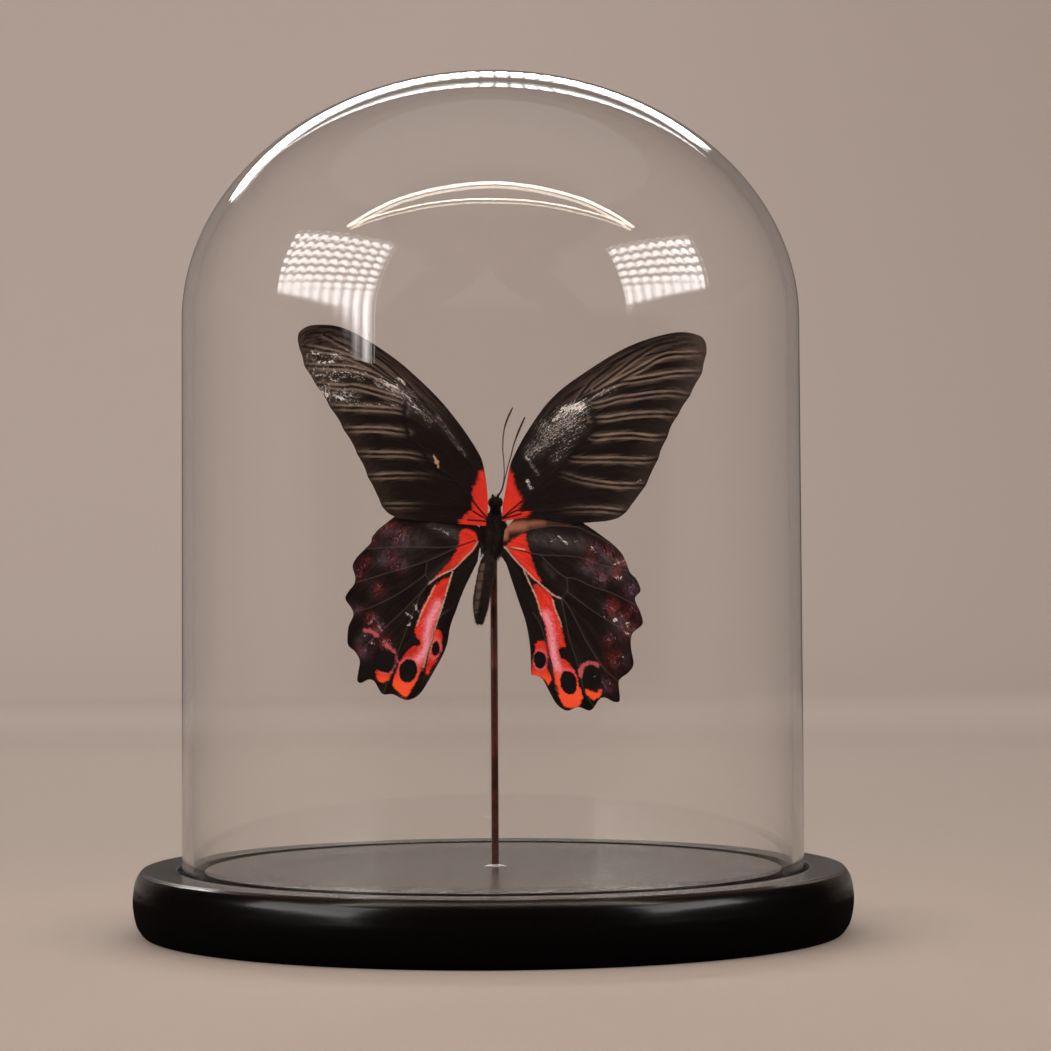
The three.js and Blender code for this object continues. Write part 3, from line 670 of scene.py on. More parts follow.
hindRight = {
    "root": [(2.4, -7.7), (2.8, -4), (3.2, -0.3)],
    "costa": [(3.2, -0.3), (7, 3.6), (13, 5.4), (19.5, 4.4), (24.9, 0.6)],
    "inner": [(2.4, -7.7), (3.7, -9.8), (4.9, -13.5), (6.9, -19.6), (9, -26), (10.1, -33), (10.3, -40.1)],
    "margin": [(10.3, -40.1), (13.2, -41.1), (15.1, -44.4), (17.3, -48.2), (20.1, -50), (23.2, -49), (26.6, -49.9),
               (28.9, -47), (30.5, -46.4), (33.2, -47.6), (34.6, -47), (34.3, -42.4), (35.1, -40.9), (37, -39.5),
               (38.4, -37.2), (37.8, -33.1), (37.7, -30.5), (38.4, -28.5), (40.9, -26.2), (40.4, -23.1),
               (38.9, -19.3), (40.4, -17), (39.3, -13.9), (37.6, -12), (36.1, -8.1), (34.5, -5.8), (31.9, -3.4),
               (28.4, -1.1), (24.9, 0.6)],
    "veins": [
        [(4, -5), (9.2, -6.3), (13.1, -7.1), (16.8, -7.3), (23.6, -7.8), (29.1, -9.8), (37, -11.6)],
        [(13.1, -7.1), (15.5, -9.7), (19.5, -13.1), (22.9, -13.8), (27.3, -15.9), (32.4, -17.6), (39, -21)],
        [(20.2, -13.5), (20.4, -16.9), (18.8, -18.9)],
        [(20.4, -17.2), (23.9, -20), (29, -23.7), (34.4, -27.1), (38, -30.2)],
        [(18.8, -18.9), (20.9, -21.7), (23.5, -26.8), (25.9, -31.6), (30, -38), (34.4, -42.2)],
        [(18.7, -19.1), (19.5, -23), (20.8, -29.9), (22.5, -35.3), (23.7, -39.4), (25, -44.8), (27.6, -49)],
        [(10.8, -23), (12.6, -25.4), (14, -29.5), (14.8, -32.9), (15.5, -36.3), (16.3, -40.8), (17.7, -45.9)],
        [(5.6, -2.7), (9.4, -0.3), (15.5, 0.8), (19.6, 0.8), (23.7, 0.3), (29.1, -2.3), (33.5, -5)],
    ],
    "cream": [
        [(3.2, -4.8), (4.9, -7), (7, -9.4), (10.4, -12.8), (13.4, -15.5), (16.8, -18.3), (18.6, -19)],
        [(8.4, -11.2), (10, -14.8), (11.3, -17.6), (12.4, -20.6), (13.2, -23.6)],
        [(3.2, -5.1), (6, -5.3), (8.7, -5.6)],
        [(16.3, -19.3), (17.1, -22.3), (18.1, -24.7), (18.8, -26.8)],
    ],
    "red": [
        [(3.9, -4.4), (6.3, -2.2), (8.9, -1.3), (9.3, -3.2), (10, -6), (10.8, -9), (12.1, -12.4), (13.2, -14.5),
         (11.4, -14), (9.3, -11.8), (7, -9), (4.2, -5.8)],
        [(11.2, -15.5), (13.1, -15.7), (15.4, -17.6), (16.4, -20.3), (17.5, -23.4), (18.5, -26.8), (19.2, -29.5),
         (19.8, -32.2), (18.4, -32.9), (18.3, -35), (20.1, -36.3), (21.6, -37.7), (22.5, -40.1), (23.5, -43.1),
         (24.2, -45.5), (23.8, -47.9), (22.1, -49), (20, -49.2), (18.3, -47.2), (17.7, -44.5), (16.7, -40.4),
         (16, -36.3), (15.4, -32.6), (14.4, -27.8), (13.4, -23.7), (12.4, -20.3)],
        [(11.6, -31.6), (13.3, -30.7), (14.4, -31.6), (14.7, -33.9), (14.9, -38), (15.7, -39.7), (15.7, -41.8),
         (15, -42.9), (13.6, -41), (10.9, -40.7), (10.5, -39.2), (10.6, -37), (10.9, -35.6), (11.4, -33.6)],
        [(25.5, -44.2), (27.5, -44.9), (29.7, -44.3), (29, -46.2), (27.5, -46.9), (26.2, -46.2)],
    ],
    "eyes": [(20.6, -42.3, 2.3, 3.3, -8), (12.8, -36, 1.8, 2.3, -6), (27, -41.1, 2.4, 2.9, 0)],
    "sheen": [[(14.4, -23.5), (15.6, -27.5), (16.4, -31.5), (16.8, -35.5), (17.8, -38.5)], 1.6],
    "arcs": [[(24.1, -40.6), (24, -38.7), (24.8, -37.5), (26.5, -36.9), (28.6, -37.3)]],
    "blooms": [(32.4, -21.7, 2.1, 0.6), (29.9, -13.4, 1.9, 0.75), (32, -30.2, 2.2, 0.42), (36.6, -27.8, 2.4, 0.6),
               (35, -9.2, 2.2, 0.6), (28.1, -5.9, 2, 0.55), (31.6, -6.4, 2, 0.6), (38, -16.6, 2.2, 0.5),
               (36.1, -24.4, 2.2, 0.42), (31.3, -43.1, 2.4, 0.4), (34, -12.6, 2.2, 0.5), (26.4, -9.6, 2.4, 0.34),
               (38.4, -22, 2, 0.4), (33.6, -36, 3, 0.34)],
    "greySheen": [((12, -2.6), (24, -4), 2.4, 0.62), ((26, -10.4), (36, -12.6), 2.2, 0.55), ((30, -8), (36.4, -9.6), 1.4, 0.7),
             ((14, -9.6), (16.6, -13), 0.8, 0.4), ((33, -25), (38, -28.6), 2, 0.42)],
    "chipsAndGlints": [((27.2, -5), (28.1, -6.5), 0.5, 0.95), ((33.4, -9.8), (36.4, -8.6), 0.6, 0.75),
              ((33.6, -13.8), (35.4, -13.2), 0.6, 0.7), ((33.2, -25.3), (33.6, -24.9), 0.45, 0.9),
              ((36.6, -26.2), (37.6, -26.8), 0.5, 0.75), ((36.2, -28.6), (37.2, -29), 0.5, 0.75),
              ((35, -35.3), (35.4, -35.3), 0.4, 0.8), ((27.7, -40.6), (28.1, -40.2), 0.45, 0.8),
              ((18, -1.8), (20.4, -4.2), 0.4, 0.65), ((15.6, -3.4), (16.8, -3), 0.4, 0.55),
              ((22.4, -3.4), (23.6, -3.2), 0.3, 0.55), ((30.4, -24.2), (30.8, -24.2), 0.35, 0.7)],
    "tan": [((3.4, 0.6), (8.4, 1.2), 1.7, 1), ((8.4, 1.4), (14, 2), 1.2, 0.7), ((14, 2), (21, 1.4), 0.9, 0.35),
            ((3.4, -2.2), (3.6, 0), 1, 0.9)],
}

scales = {
    "black": tint(12, 6, 5), "blackLight": tint(48, 35, 30), "stripe": tint(109, 92, 81),
    "vein": tint(12, 8, 8), "greyVein": tint(74, 64, 60), "cream": tint(184, 152, 132),
    "red": tint(200, 43, 28), "redDark": tint(152, 33, 23), "ember": tint(212, 72, 40), "pink": tint(194, 90, 94),
    "lilac": tint(196, 138, 154), "eyeBlack": tint(13, 9, 9), "bloom": tint(132, 40, 38),
    # the grey sheen tone is painted sheen for the hindwings' upper cells
    "bloomViolet": tint(92, 60, 80), "bloomPale": tint(168, 144, 142), "greySheen": tint(86, 78, 80),
    # the two palest tones are flecks that are partly wear and partly painted glints
    "rubbed": tint(104, 92, 88), "wornAndSheen": tint(176, 168, 166), "chipGlint": tint(206, 200, 196), "tanChip": tint(176, 134, 104),
    "tan": tint(138, 86, 66), "dull": tint(58, 46, 41), "stripeAt": 0.66, "stripeHalf": 0.4,
}


def gapTo(places, line, steps=10):
    # distance from each place to a curve through the line's points
    path = curveThrough(line, np.linspace(0, 1, steps * (len(line) - 1) + 1))
    gap = np.full(len(places), 1e3)
    for start, end in zip(path, path[1:]):
        way = end - start
        share = np.clip((places - start) @ way / max(way @ way, 1e-9), 0, 1)
        gap = np.minimum(gap, np.linalg.norm(places - start - share[:, None] * way, axis=1))
    return gap


def patchGap(places, outline):
    # distance to a patch's edge, below 0 inside it
    ring = [outline[-1], *outline, outline[0], outline[1]]
    count = len(outline)
    path = curveThrough(ring, np.linspace(1, count + 1, 6 * count + 1) / (len(ring) - 1))
    inside = np.zeros(len(places), bool)
    for (ax, ay), (bx, by) in zip(path, path[1:]):
        if ay != by:
            crossing = (ay > places[:, 1]) != (by > places[:, 1])
            inside ^= crossing & (places[:, 0] < (bx - ax) * (places[:, 1] - ay) / (by - ay) + ax)
    gap = np.full(len(places), 1e3)
    for start, end in zip(path, path[1:]):
        way = end - start
        share = np.clip((places - start) @ way / max(way @ way, 1e-9), 0, 1)
        gap = np.minimum(gap, np.linalg.norm(places - start - share[:, None] * way, axis=1))
    return np.where(inside, -gap, gap)


def spotGap(places, x, z, wide, high, lean):
    # distance to an eyespot's edge, below 0 inside it
    a = math.radians(lean)
    dx, dz = places[:, 0] - x, places[:, 1] - z
    across, up = dx * math.cos(a) - dz * math.sin(a), dx * math.sin(a) + dz * math.cos(a)
    return (np.hypot(across / wide, up / high) - 1) * min(wide, high)


def dabs(places, spots):
    # soft dabs of (x, z, reach, amount), their outlines a little crooked
    crooked = places + 0.32 * np.sin(places[:, ::-1] * (5.1, 4.3) + (0.7, 2.1))
    total = np.zeros(len(places))
    for x, z, reach, amount in spots:
        away = ((crooked - (x, z)) ** 2).sum(1)
        total = np.maximum(total, amount * np.exp(-away / reach**2))
    return total


def strokes(places, lines):
    # soft strokes of (start, end, reach, amount)
    total = np.zeros(len(places))
    for start, end, reach, amount in lines:
        total = np.maximum(total, amount * np.exp(-(gapTo(places, [start, end]) / reach) ** 2))
    return total


def nearest(gaps, count):
    return np.minimum.reduce(gaps) if gaps else np.full(count, 9.0)


def wingMarks(outline, places, along, kind):
    # what the wing's finish reads at each of its points
    count = len(places)
    marks = {
        "veinGap": nearest([gapTo(places, v) for v in outline["veins"]], count),
        "redGap": nearest([patchGap(places, p) for p in outline["red"]], count),
        # white specks, partly chipped scales and partly painted glints
        "chipsAndGlints": strokes(places, outline["chipsAndGlints"]),
        "tanned": strokes(places, outline["tan"]),
    }
    if kind == "fore":
        marks["along"] = along
        marks["redVeins"] = nearest([gapTo(places, v) for v in outline["redVeins"]], count)
        # worn patches, whose pale flecks are partly wear and partly a painted gleam
        marks["wornAndSheen"] = strokes(places, outline["wornAndSheen"])
        rays, cell = outline["veins"][:-3], outline["veins"][-3:]
        marks["rayGap"] = nearest([gapTo(places, v) for v in rays], count)
        root = np.hypot(places[:, 0], places[:, 1] - 6)
        fade = np.clip((root - 18) / 14, 0, 1) * np.clip((1 - along) / 0.16, 0, 1)
        fade = fade * np.clip(nearest([gapTo(places, v) for v in cell], count) / 2.6, 0, 1)
        costaGap = gapTo(places, outline["costa"], 6)
        marks["striped"] = fade * np.clip((costaGap - 2) / 4, 0, 1)
        # a pale band along the costa, partly lighter scales and partly a painted reflection of the glass
        marks["costalPaleAndReflection"] = np.exp(-((costaGap - 2) / 4) ** 2) * np.clip((root - 22) / 20, 0, 1)
    else:
        marks["creamGap"] = nearest([gapTo(places, v) for v in outline["cream"]], count)
        marks["eyeGap"] = nearest([spotGap(places, *spot) for spot in outline["eyes"]], count)
        path, reach = outline["sheen"]
        marks["sheen"] = np.exp(-(gapTo(places, path) / reach) ** 2)
        marks["ember"] = np.clip((-38.5 - places[:, 1]) / 3, 0, 1)
        marks["arcGap"] = nearest([gapTo(places, v) for v in outline["arcs"]], count)
        marks["bloom"] = dabs(places, outline["blooms"])
        # where a grey sheen is painted over the upper cells
        marks["greySheen"] = strokes(places, outline["greySheen"])
    return marks


def scaleRelief(finish):
    # rows of overlapping scales and the fine ribs between the veins
    rows = finish.grain(finish.rows((1.1, 5, 1)), 1, 3, 0.6)
    fine = finish.grain(finish.rows((9, 9, 1)), 1, 2, 0.5)
    first = finish.relief(rows, 0.25, 0.05)
    return finish.node("ShaderNodeBump", None, {0: 0.15, 1: 0.02 * mm, "Height": fine, "Normal": first})


def forewingFinish(name, below):
    s = scales
    finish = Finish(name)
    vein = finish.mark("veinGap")
    streaks = finish.grain(finish.rows((0.16, 1.5, 1)), 1, 4, 0.62)
    scratch = finish.grain(finish.rows((0.6, 2.2, 1)), 1, 4, 0.7, 0.6)
    speck = finish.grain(finish.rows((2.6, 3.4, 1)), 1, 3, 0.75)
    blot = finish.grain(finish.rows((0.35, 0.55, 1)), 1, 3, 0.65, 0.5)
    dust = finish.rise(finish.mark("along"), 0.72, 1) * 0.5 + finish.rise(streaks, 0.45, 0.75) * 0.3
    # along the costa the lightening is partly a painted reflection of the glass
    dust = dust + finish.mark("costalPaleAndReflection") * finish.rise(streaks, 0.4, 0.62) * 1.4
    ground = finish.mix(dust * (0.5 + speck), s["black"], s["blackLight"])
    off = finish.mark("rayGap") - s["stripeAt"] + (streaks - 0.5) * 0.4
    core = 1 - finish.rise(off * off, 0.01, s["stripeHalf"] ** 2)
    skirt = 1 - finish.rise(finish.mark("rayGap") + (speck - 0.5) * 0.5, 0.9, 2.1)
    skirt = skirt * finish.rise(streaks, 0.4, 0.6)
    stripe = (core * 0.7 + skirt * 0.36) * finish.mark("striped") * (0.6 + blot * 0.6)
    colour = finish.mix(stripe * (0.5 + speck * 0.8), ground, s["stripe"])
    colour = finish.mix((1 - finish.rise(vein + (speck - 0.5) * 0.2, 0.08, 0.42)) * 0.8, colour, s["vein"])
    edge = finish.mark("redGap") + (speck - 0.5) * 2.4 + (streaks - 0.5) * 5
    red = 1 - finish.rise(edge, -0.25, 0.35)
    shade = finish.mix(finish.rise(streaks + (speck - 0.5) * 0.8, 0.36, 0.68), s["redDark"], s["red"])
    shade = finish.mix(1 - finish.rise(finish.mark("redVeins"), 0.08, 0.38), shade, s["vein"])
    colour = finish.mix(red, colour, shade)
    flecks = scratch * 0.5 + speck * 0.5
    # worn patches: rubbed grey scales, and pale flecks that are partly wear and partly a painted gleam
    bare = finish.mark("wornAndSheen")
    colour = finish.mix(bare * (0.1 + finish.rise(scratch, 0.35, 0.7) * 0.5), colour, s["rubbed"])
    wornAndSheen = finish.broken(bare * 0.86, flecks, 4)
    colour = finish.mix(wornAndSheen * (0.1 + finish.rise(speck, 0.42, 0.68) * 0.75), colour, s["wornAndSheen"])
    # white specks: partly chipped scales, partly painted glints
    chipsAndGlints = finish.broken(finish.mark("chipsAndGlints") * 0.75, flecks, 4)
    colour = finish.mix(chipsAndGlints * (0.2 + finish.rise(speck, 0.35, 0.6) * 0.7), colour, s["chipGlint"])
    tanned = finish.broken(finish.mark("tanned") * 0.8, flecks, 2.6)
    colour = finish.mix(tanned * 0.85, colour, s["tanChip"])
    if below:
        colour = finish.mix(0.35, colour, s["dull"])
    sockets = {
        "Base Color": colour, "Roughness": 0.58 - wornAndSheen * 0.2, "Normal": scaleRelief(finish),
        "Specular IOR Level": 0.05,
    }
    return finish.done(finish.shade(sockets))


def hindwingFinish(name, below):
    s = scales
    finish = Finish(name)
    vein = finish.mark("veinGap")
    streaks = finish.grain(finish.rows((0.22, 1.2, 1)), 1, 4, 0.62)
    speck = finish.grain(finish.rows((3, 3, 1)), 1, 3, 0.75)
    blot = finish.grain(finish.rows((0.7, 0.7, 1)), 1, 5, 0.7, 0.5)
    tone = finish.grain(finish.rows((0.35, 0.35, 1)), 1, 2, 0.5)
    flecks = blot * 0.6 + speck * 0.4
    colour = finish.mix(finish.rise(streaks, 0.42, 0.75) * 0.35, s["black"], s["blackLight"])
    # painted sheen: a grey sheen over the upper cells, where the scales are also glossier
    greySheen = finish.mark("greySheen") * (0.3 + finish.rise(flecks, 0.4, 0.6) * 0.6)
    colour = finish.mix(greySheen * 0.65, colour, s["greySheen"])
    colour = finish.mix((1 - finish.rise(vein, 0.05, 0.3)) * 0.35, colour, s["greyVein"])
    bloom = finish.mark("bloom")
    bloomTone = finish.mix(finish.rise(tone, 0.42, 0.6), s["bloom"], s["bloomViolet"])
    colour = finish.mix(bloom * finish.rise(flecks, 0.38, 0.6) * 0.9, colour, bloomTone)
    bright = finish.broken(bloom * 0.5, speck, 2.6)
    colour = finish.mix(bright * 0.4, colour, s["bloomPale"])
    arc = finish.rise(finish.mark("arcGap") + (flecks - 0.5) * 4.5, 0.8, 0)
    colour = finish.mix(arc * 0.6, colour, s["pink"])
    edge = finish.mark("redGap") + (speck - 0.5) * 2 + (blot - 0.5) * 1.8
    red = 1 - finish.rise(edge, -0.2, 0.28)
    shade = finish.mix(finish.rise(streaks + (speck - 0.5) * 0.8, 0.36, 0.68), s["redDark"], s["red"])
    shade = finish.mix(finish.mark("ember"), shade, s["ember"])
    sheen = finish.mark("sheen") + (speck - 0.5) * 1.5 + (streaks - 0.5) * 0.6
    shade = finish.mix(finish.rise(sheen, 0.1, 0.7) * 0.75, shade, s["pink"])
    shade = finish.mix(finish.rise(sheen, 0.6, 1.15) * 0.8, shade, s["lilac"])
    eye = finish.mark("eyeGap") + (speck - 0.5) * 1.2 + (blot - 0.5) * 0.8
    ring = (1 - finish.rise(eye, 0.3, 0.9)) * (1 - finish.mark("ember"))
    shade = finish.mix(ring * 0.55, shade, s["pink"])
    colour = finish.mix(red, colour, shade)
    ragged = finish.mark("creamGap") + (speck - 0.5) * 1.1
    cream = finish.rise(ragged, 0.34, 0.02)
    colour = finish.mix(cream * 0.75, colour, s["cream"])
    black = 1 - finish.rise(eye, -0.12, 0.16)
    colour = finish.mix(black, colour, s["eyeBlack"])
    dark = finish.rise(vein + (speck - 0.5) * 0.2, 0.34, 0.08) * red
    colour = finish.mix(dark * 0.8, colour, s["vein"])
    # white specks: partly chipped scales, partly painted glints
    chipsAndGlints = finish.broken(finish.mark("chipsAndGlints") * 0.7, flecks, 4.2)
    colour = finish.mix(chipsAndGlints * (0.15 + finish.rise(speck, 0.35, 0.6) * 0.65), colour, s["chipGlint"])
    tanned = finish.mark("tanned") * (0.75 + blot * 0.5)
    colour = finish.mix(finish.rise(tanned, 0, 1) * 0.9, colour, s["tan"])
    if below:
        colour = finish.mix(0.3, colour, s["dull"])
    sockets = {
        "Base Color": colour, "Roughness": 0.58 - greySheen * 0.15, "Normal": scaleRelief(finish),
        "Specular IOR Level": 0.05,
    }
    return finish.done(finish.shade(sockets))


def makeWing(name, outline, kind, columns, rows, layer, finishes, node):
    w = wing
    made = bmesh.new()
    bmesh.ops.create_grid(made, x_segments=columns, y_segments=rows, size=0.5)
    flat = np.array([point.co[:2] for point in made.verts]) + 0.5
    u, v = flat[:, 0], flat[:, 1]
    root, costa, inner, margin = (curveThrough(outline[edge], t) for edge, t in
                                  (("root", v), ("costa", u), ("inner", u), ("margin", v)))
    corner = [np.array(outline[edge][end], float) for edge, end in
              (("root", 0), ("margin", 0), ("root", -1), ("margin", -1))]
    u, v = u[:, None], v[:, None]
    places = (inner * (1 - v) + costa * v + root * (1 - u) + margin * u
              - corner[0] * (1 - u) * (1 - v) - corner[1] * u * (1 - v)
              - corner[2] * (1 - u) * v - corner[3] * u * v)
    if kind == "fore":
        # shallow scallops between the vein ends
        bite = np.minimum(nearest([gapTo(margin, line) for line in outline["veins"]], len(v)) / 2.4, 1)
        ease = np.clip((flat[:, 0] - 0.93) / 0.07, 0, 1) ** 2
        places[:, 0] -= math.copysign(w["scallop"], outline["margin"][0][0]) * bite * ease
    marks = wingMarks(outline, places, flat[:, 0], kind)
    out = np.maximum(0, np.abs(places[:, 0]) - w["rootOut"])
    forward = w["rootForward"] + w["lift"] * out - w["droop"] * out**2
    swell = w["veinRise"] * np.exp(-(marks["veinGap"] / w["veinWidth"]) ** 2)
    pleat = w["pleat"] * np.minimum(marks["veinGap"] / w["pleatReach"], 1) * np.minimum(out / 6, 1)
    y = layer * w["gap"] - forward - swell + pleat * (0.5 if kind == "fore" else 0.35)
    for point, (x, z), depth in zip(made.verts, places, y):
        point.co = (Vector((x, depth, z)) + butterfly) * mm
    bmesh.ops.recalc_face_normals(made, faces=made.faces)
    if sum(face.normal.y for face in made.faces) > 0:
        bmesh.ops.reverse_faces(made, faces=made.faces)
    piece = settle(name, made, finishes, [node], False)
    mesh = piece.data
    for mark, values in marks.items():
        mesh.attributes.new(mark, "FLOAT", "POINT").data.foreach_set("value", values.astype(np.float32))
    corners = np.zeros(len(mesh.loops), int)
    mesh.loops.foreach_get("vertex_index", corners)
    rowsMap = mesh.uv_layers.new(name="scaleRows")
    length = np.linalg.norm(corner[1] - corner[0] + corner[3] - corner[2]) / 2
    width = np.linalg.norm(corner[2] - corner[0] + corner[3] - corner[1]) / 2
    rowsMap.data.foreach_set("uv", (flat[corners] * (length, width)).astype(np.float32).ravel())
    thick = piece.modifiers.new("thickness", "SOLIDIFY")
    thick.thickness = w["thickness"] * mm
    thick.offset = 0
    thick.material_offset = 1


def makeWings():
    fore = [forewingFinish("forewingScales", False), forewingFinish("forewingBelow", True)]
    hind = [hindwingFinish("hindwingScales", False), hindwingFinish("hindwingBelow", True)]
    makeWing("forewing_scaled_left", foreLeft, "fore", 240, 160, -1, fore, "forewing_left")
    makeWing("forewing_scaled_right", foreRight, "fore", 240, 160, -1, fore, "forewing_right")
    makeWing("hindwing_scaled_left", hindLeft, "hind", 150, 252, 1, hind, "hindwing_left")
    makeWing("hindwing_scaled_right", hindRight, "hind", 150, 252, 1, hind, "hindwing_right")


makeWings()
print("wings are spread")


# The butterfly's body, furred, with its feelers and legs

thorax = {"halfWidth": 3.5, "halfDepth": 3.7, "halfHeight": 6.55, "x": 0.1, "z": -1.45, "squareness": 2.4}
head = {"x": 0.7, "y": -1.6, "z": 7.4, "radius": 1.7, "eyeRadius": 1.1, "eyeOut": 1}
abdomen = {
    "route": [(-1.4, -1.9, -8.4), (-2.3, -1.9, -14), (-3.4, -1.8, -20), (-3.9, -1.7, -26.2)],
    "girths": [1.3, 2, 2.3, 2.4, 2.4, 2.35, 2.3, 2.1, 1.5, 0.95], "rings": 8,
}
feelers = {
    "left": [(1.2, -2.4, 9.4), (2.3, -2.4, 10.7), (3.1, -2.4, 14.1), (3.1, -2.5, 18.5), (2.8, -2.6, 22.4),
             (3.1, -2.7, 26.8), (4, -2.8, 30.1), (5.6, -2.9, 33.6)],
    "right": [(1.6, -1.5, 9.4), (2.5, -1.3, 10.8), (3.3, -1.1, 13.8), (4.2, -1, 17.4), (5, -1.1, 20),
              (5.9, -1.3, 23.5), (7.3, -1.5, 27.3), (9, -1.7, 31)],
    "girths": [0.25, 0.2, 0.17, 0.16, 0.15, 0.15, 0.15, 0.15, 0.16, 0.17, 0.18, 0.2, 0.25, 0.3, 0.28, 0.16], "joints": 38,
}
legs = {
    "fore": [(1.2, 4.3, 2), (3.5, 4.8, 1.1), (1.9, 5.6, -3.2), (1.7, 6, -6.8)],
    "middle": [(1.2, 4.35, -2), (3.7, 4.7, -3.6), (3.3, 5.9, -5.8), (3.5, 6.4, -7.4)],
    "hind": [(1.3, 4.15, -4.8), (3.2, 4.3, -5.8), (2.3, 4.9, -7.2), (0.9, 5.2, -7.5)],
    "girths": [0.5, 0.46, 0.4, 0.42, 0.3, 0.26, 0.3, 0.24, 0.2, 0.2, 0.17, 0.19, 0.15, 0.17, 0.12],
}
velvet = {
    "dark": tint(17, 10, 8), "brown": tint(44, 30, 25), "ring": tint(84, 66, 57), "horn": tint(16, 10, 9),
    "eye": tint(16, 10, 9), "hairDark": tint(18, 11, 9), "hairTip": tint(50, 35, 28),
}


def velvetFinish(name, banded):
    v = velvet
    finish = Finish(name)
    where = finish.place()
    cloud = finish.grain(where, 420, 4, 0.6)
    fine = finish.grain(where, 2600, 3, 0.6)
    colour = finish.mix(finish.rise(cloud, 0.4, 0.75) * 0.7, v["dark"], v["brown"])
    if banded:
        side = finish.rise(finish.mark("flank"), 0.25, 0.8) * (0.45 + cloud * 0.8)
        colour = finish.mix(side, colour, v["ring"])
        colour = finish.mix(finish.mark("crease") * 0.75, colour, v["dark"])
    sockets = {
        "Base Color": colour, "Roughness": 0.7, "Normal": finish.relief(fine, 0.5, 0.08),
        "Specular IOR Level": 0.08, "Sheen Weight": 0.02, "Sheen Roughness": 0.4,
    }
    return finish.done(finish.shade(sockets))


def hornFinish(name, colour, rough):
    finish = Finish(name)
    cloud = finish.grain(finish.place(), 900, 3, 0.6)
    shade = finish.mix(cloud * 0.5, colour, velvet["brown"])
    sockets = {"Base Color": shade, "Roughness": rough + cloud * 0.1, "Normal": finish.relief(cloud, 0.3, 0.04)}
    return finish.done(finish.shade(sockets))


def hairFinish():
    v = velvet
    finish = Finish("bodyHair")
    cloud = finish.grain(finish.place(), 800, 3, 0.6)
    colour = finish.mix(finish.rise(cloud, 0.45, 0.8) * 0.8, v["hairDark"], v["hairTip"])
    return finish.done(finish.shade({"Base Color": colour, "Roughness": 0.55, "Specular IOR Level": 0.15}))


def addHair(made, skin, count, length, thick, lean, chance):
    # straight tapering hairs that grow from the skin and lie back towards the tail
    mesh = bpy.data.meshes.new("skin")
    skin.to_mesh(mesh)
    mesh.calc_loop_triangles()
    shape = np.array([[mesh.vertices[i].co for i in t.vertices] for t in mesh.loop_triangles])
    cross = np.cross(shape[:, 1] - shape[:, 0], shape[:, 2] - shape[:, 0])
    area = np.linalg.norm(cross, axis=1)
    picks = chance.choice(len(area), count, p=area / area.sum())
    for pick in picks:
        a, b = sorted(chance.random(2))
        spot = Vector(shape[pick][0] * a + shape[pick][1] * (b - a) + shape[pick][2] * (1 - b))
        out = Vector(cross[pick]).normalized()
        sway = Vector(chance.normal(0, 0.22, 3))
        way = (out * (1 - lean) + Vector((0, 0, -1)) * lean + sway).normalized()
        reach = length * chance.uniform(0.55, 1.1) * mm
        middle = spot + way * (reach / 2 - 0.06 * mm)
        turn = way.to_track_quat("Z", "Y").to_matrix().to_4x4()
        bmesh.ops.create_cone(made, cap_ends=False, segments=3, radius1=thick * mm, radius2=thick * 0.25 * mm,
                              depth=reach, matrix=Matrix.Translation(middle) @ turn)
    bpy.data.meshes.remove(mesh)


def makeThorax(hair, chance):
    t = thorax
    made = bmesh.new()
    bmesh.ops.create_uvsphere(made, u_segments=56, v_segments=40, radius=1)
    for point in made.verts:
        x, y, z = point.co
        round_ = math.hypot(x, y)
        if round_ > 1e-6:
            square = (abs(x) ** t["squareness"] + abs(y) ** t["squareness"]) ** (1 / t["squareness"])
            x, y = x * round_ / square, y * round_ / square
        furrow = 0.16 * math.exp(-(x / 0.12) ** 2) * max(0, -y)
        lump = 0.05 * noise.noise(Vector((x * 2, y * 2, z * 3)))
        grow = 1 + lump - furrow
        place = Vector((x * t["halfWidth"] * grow + t["x"], y * t["halfDepth"] * grow, z * t["halfHeight"] + t["z"]))
        point.co = (place + butterfly) * mm
    addHair(hair, made, 2600, 1.5, 0.05, 0.5, chance)
    settle("thorax_body", made, [velvetFinish("bodyVelvet", False)], ["thorax"])


def makeHead(hair, chance):
    h = head
    centre = Vector((h["x"], h["y"], h["z"])) + butterfly
    made = bmesh.new()
    addBall(made, centre, h["radius"], (1, 0.95, 0.85), 4)
    addHair(hair, made, 420, 0.9, 0.045, 0.1, chance)
    velvetFaces = len(made.faces)
    addLimb(made, [(h["x"] + butterfly.x, butterfly.y - 0.6, 4.2 + butterfly.z), tuple(centre)], [1.7, 1.5, 1.3], 16, 6)
    for side in (-1, 1):
        palp = [(side * 0.5, 1.1, 0.6), (side * 0.7, 1.5, 1.7), (side * 0.8, 1.3, 2.3)]
        addLimb(made, [tuple(centre + Vector(p)) for p in palp], [0.35, 0.42, 0.36, 0.16], 8, 14)
    coil = [(0, 1.9 + 0.1 * t, 0.3) for t in range(1)]
    for turn in np.linspace(0, 3.2 * math.tau, 50):
        reach = 0.95 - 0.22 * turn / math.tau
        coil.append((0.02, 1.9 + reach * math.cos(turn), 0.3 + reach * math.sin(turn)))
    addLimb(made, [tuple(centre + Vector(p)) for p in coil[1:]], [0.12, 0.12, 0.1], 6, 120)
    soft = len(made.faces)
    for side in (-1, 1):
        addBall(made, centre + Vector((side * h["eyeOut"], 0, 0)), h["eyeRadius"], (1, 1.1, 1.25), 4)
    made.faces.ensure_lookup_table()
    for face in made.faces[soft:]:
        face.material_index = 1
    finishes = [velvetFinish("headVelvet", False), hornFinish("darkEye", velvet["eye"], 0.12)]
    settle("head_with_eyes", made, finishes, ["head"])


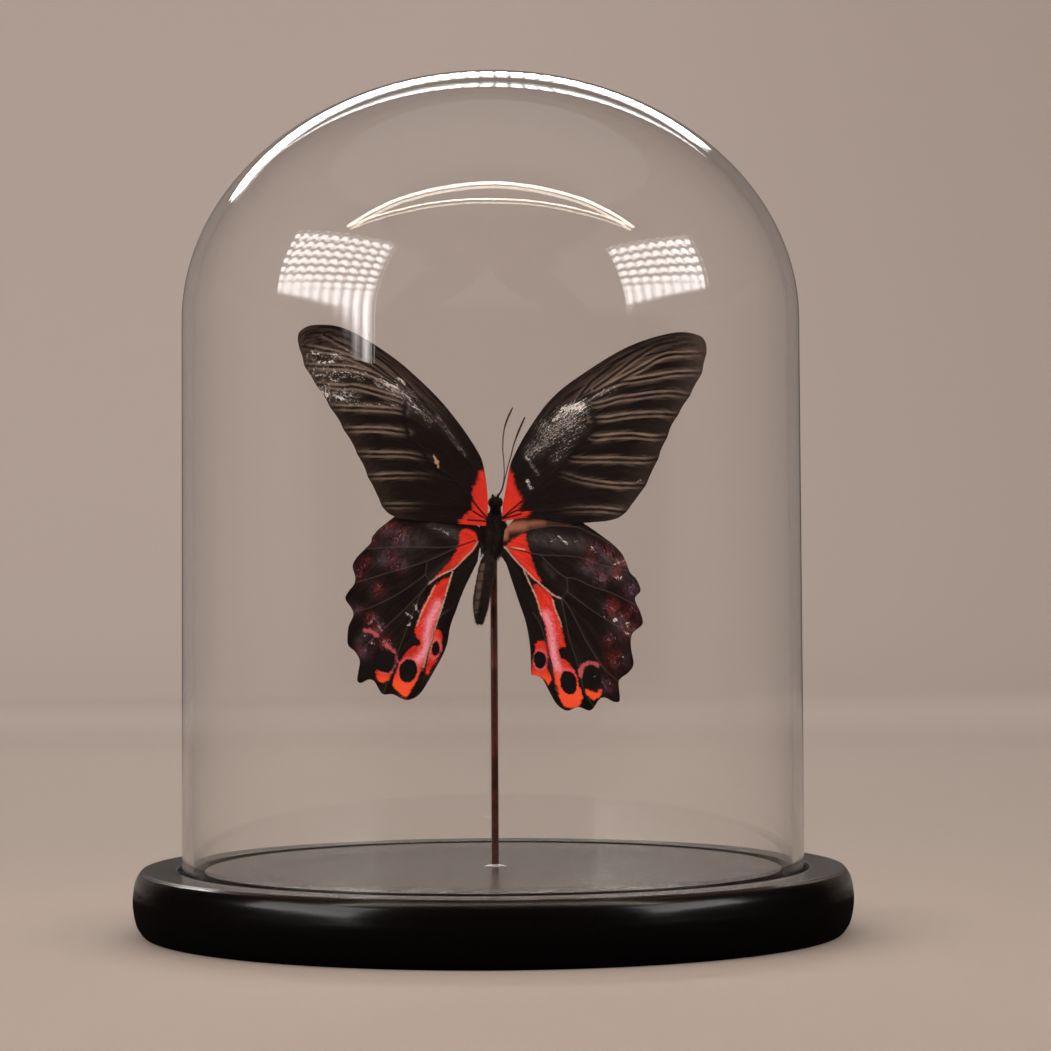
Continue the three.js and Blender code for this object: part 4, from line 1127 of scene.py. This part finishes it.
def makeAbdomen(hair, chance):
    a = abdomen
    made = bmesh.new()

    def ringed(share):
        return 1 - 0.05 * np.exp(-((share * a["rings"] % 1 - 0.5) / 0.1) ** 2)

    route = [tuple(Vector(p) + butterfly) for p in a["route"]]
    neck = tuple(Vector((-0.8, -1.6, -5)) + butterfly)
    addLimb(made, [neck, *route], [0.9, 1.2, *a["girths"]], 32, 130, ringed)
    addHair(hair, made, 1500, 0.75, 0.035, 0.75, chance)
    piece = settle("abdomen_ringed", made, [velvetFinish("abdomenVelvet", True)], ["abdomen"])
    mesh = piece.data
    low, high = route[-1], neck
    flank, crease = [], []
    for vertex in mesh.vertices:
        share = (high[2] - vertex.co.z / mm) / (high[2] - low[2])
        middle = high[0] + (low[0] - high[0]) * share
        flank.append(math.exp(-((vertex.co.x / mm - middle + 1.5) / 0.8) ** 2) * (0.2 < share < 0.86))
        crease.append(math.exp(-((share * a["rings"] % 1 - 0.5) / 0.14) ** 2))
    for mark, values in (("flank", flank), ("crease", crease)):
        mesh.attributes.new(mark, "FLOAT", "POINT").data.foreach_set("value", values)


def makeFeelers():
    horn = hornFinish("darkHorn", velvet["horn"], 0.35)

    def jointed(share):
        return 1 + 0.1 * np.sign(np.sin(share * feelers["joints"] * math.tau))

    for side in ("left", "right"):
        made = bmesh.new()
        route = [tuple(Vector(p) + butterfly) for p in feelers[side]]
        addLimb(made, route, feelers["girths"], 10, 6 * feelers["joints"], jointed)
        settle(f"feeler_{side}", made, [horn], [f"antenna_{side}"])


def makeLegs():
    horn = hornFinish("legHorn", velvet["horn"], 0.4)
    for which in ("fore", "middle", "hind"):
        for side, way in (("left", -1), ("right", 1)):
            made = bmesh.new()
            route = [tuple(Vector((way * x, y, z)) + butterfly) for x, y, z in legs[which]]
            addLimb(made, route, legs["girths"], 10, 70)
            tip = Vector(route[-1])
            for lean in (-1, 1):
                claw = [tuple(tip), tuple(tip + Vector((lean * 0.25, 0.1, -0.3))), tuple(tip + Vector((lean * 0.3, 0.35, -0.5)))]
                addLimb(made, claw, [0.08, 0.06, 0.02], 6, 8)
            settle(f"leg_{which}_{side}_jointed", made, [horn], [f"leg_{which}_{side}"])


hair = bmesh.new()
chance = np.random.default_rng(7)
makeThorax(hair, chance)
makeHead(hair, chance)
makeAbdomen(hair, chance)
settle("body_hair_coat", hair, [hairFinish()], [], False)
makeFeelers()
makeLegs()
print("body, hair, feelers and legs are made")

bpy.context.view_layer.update()
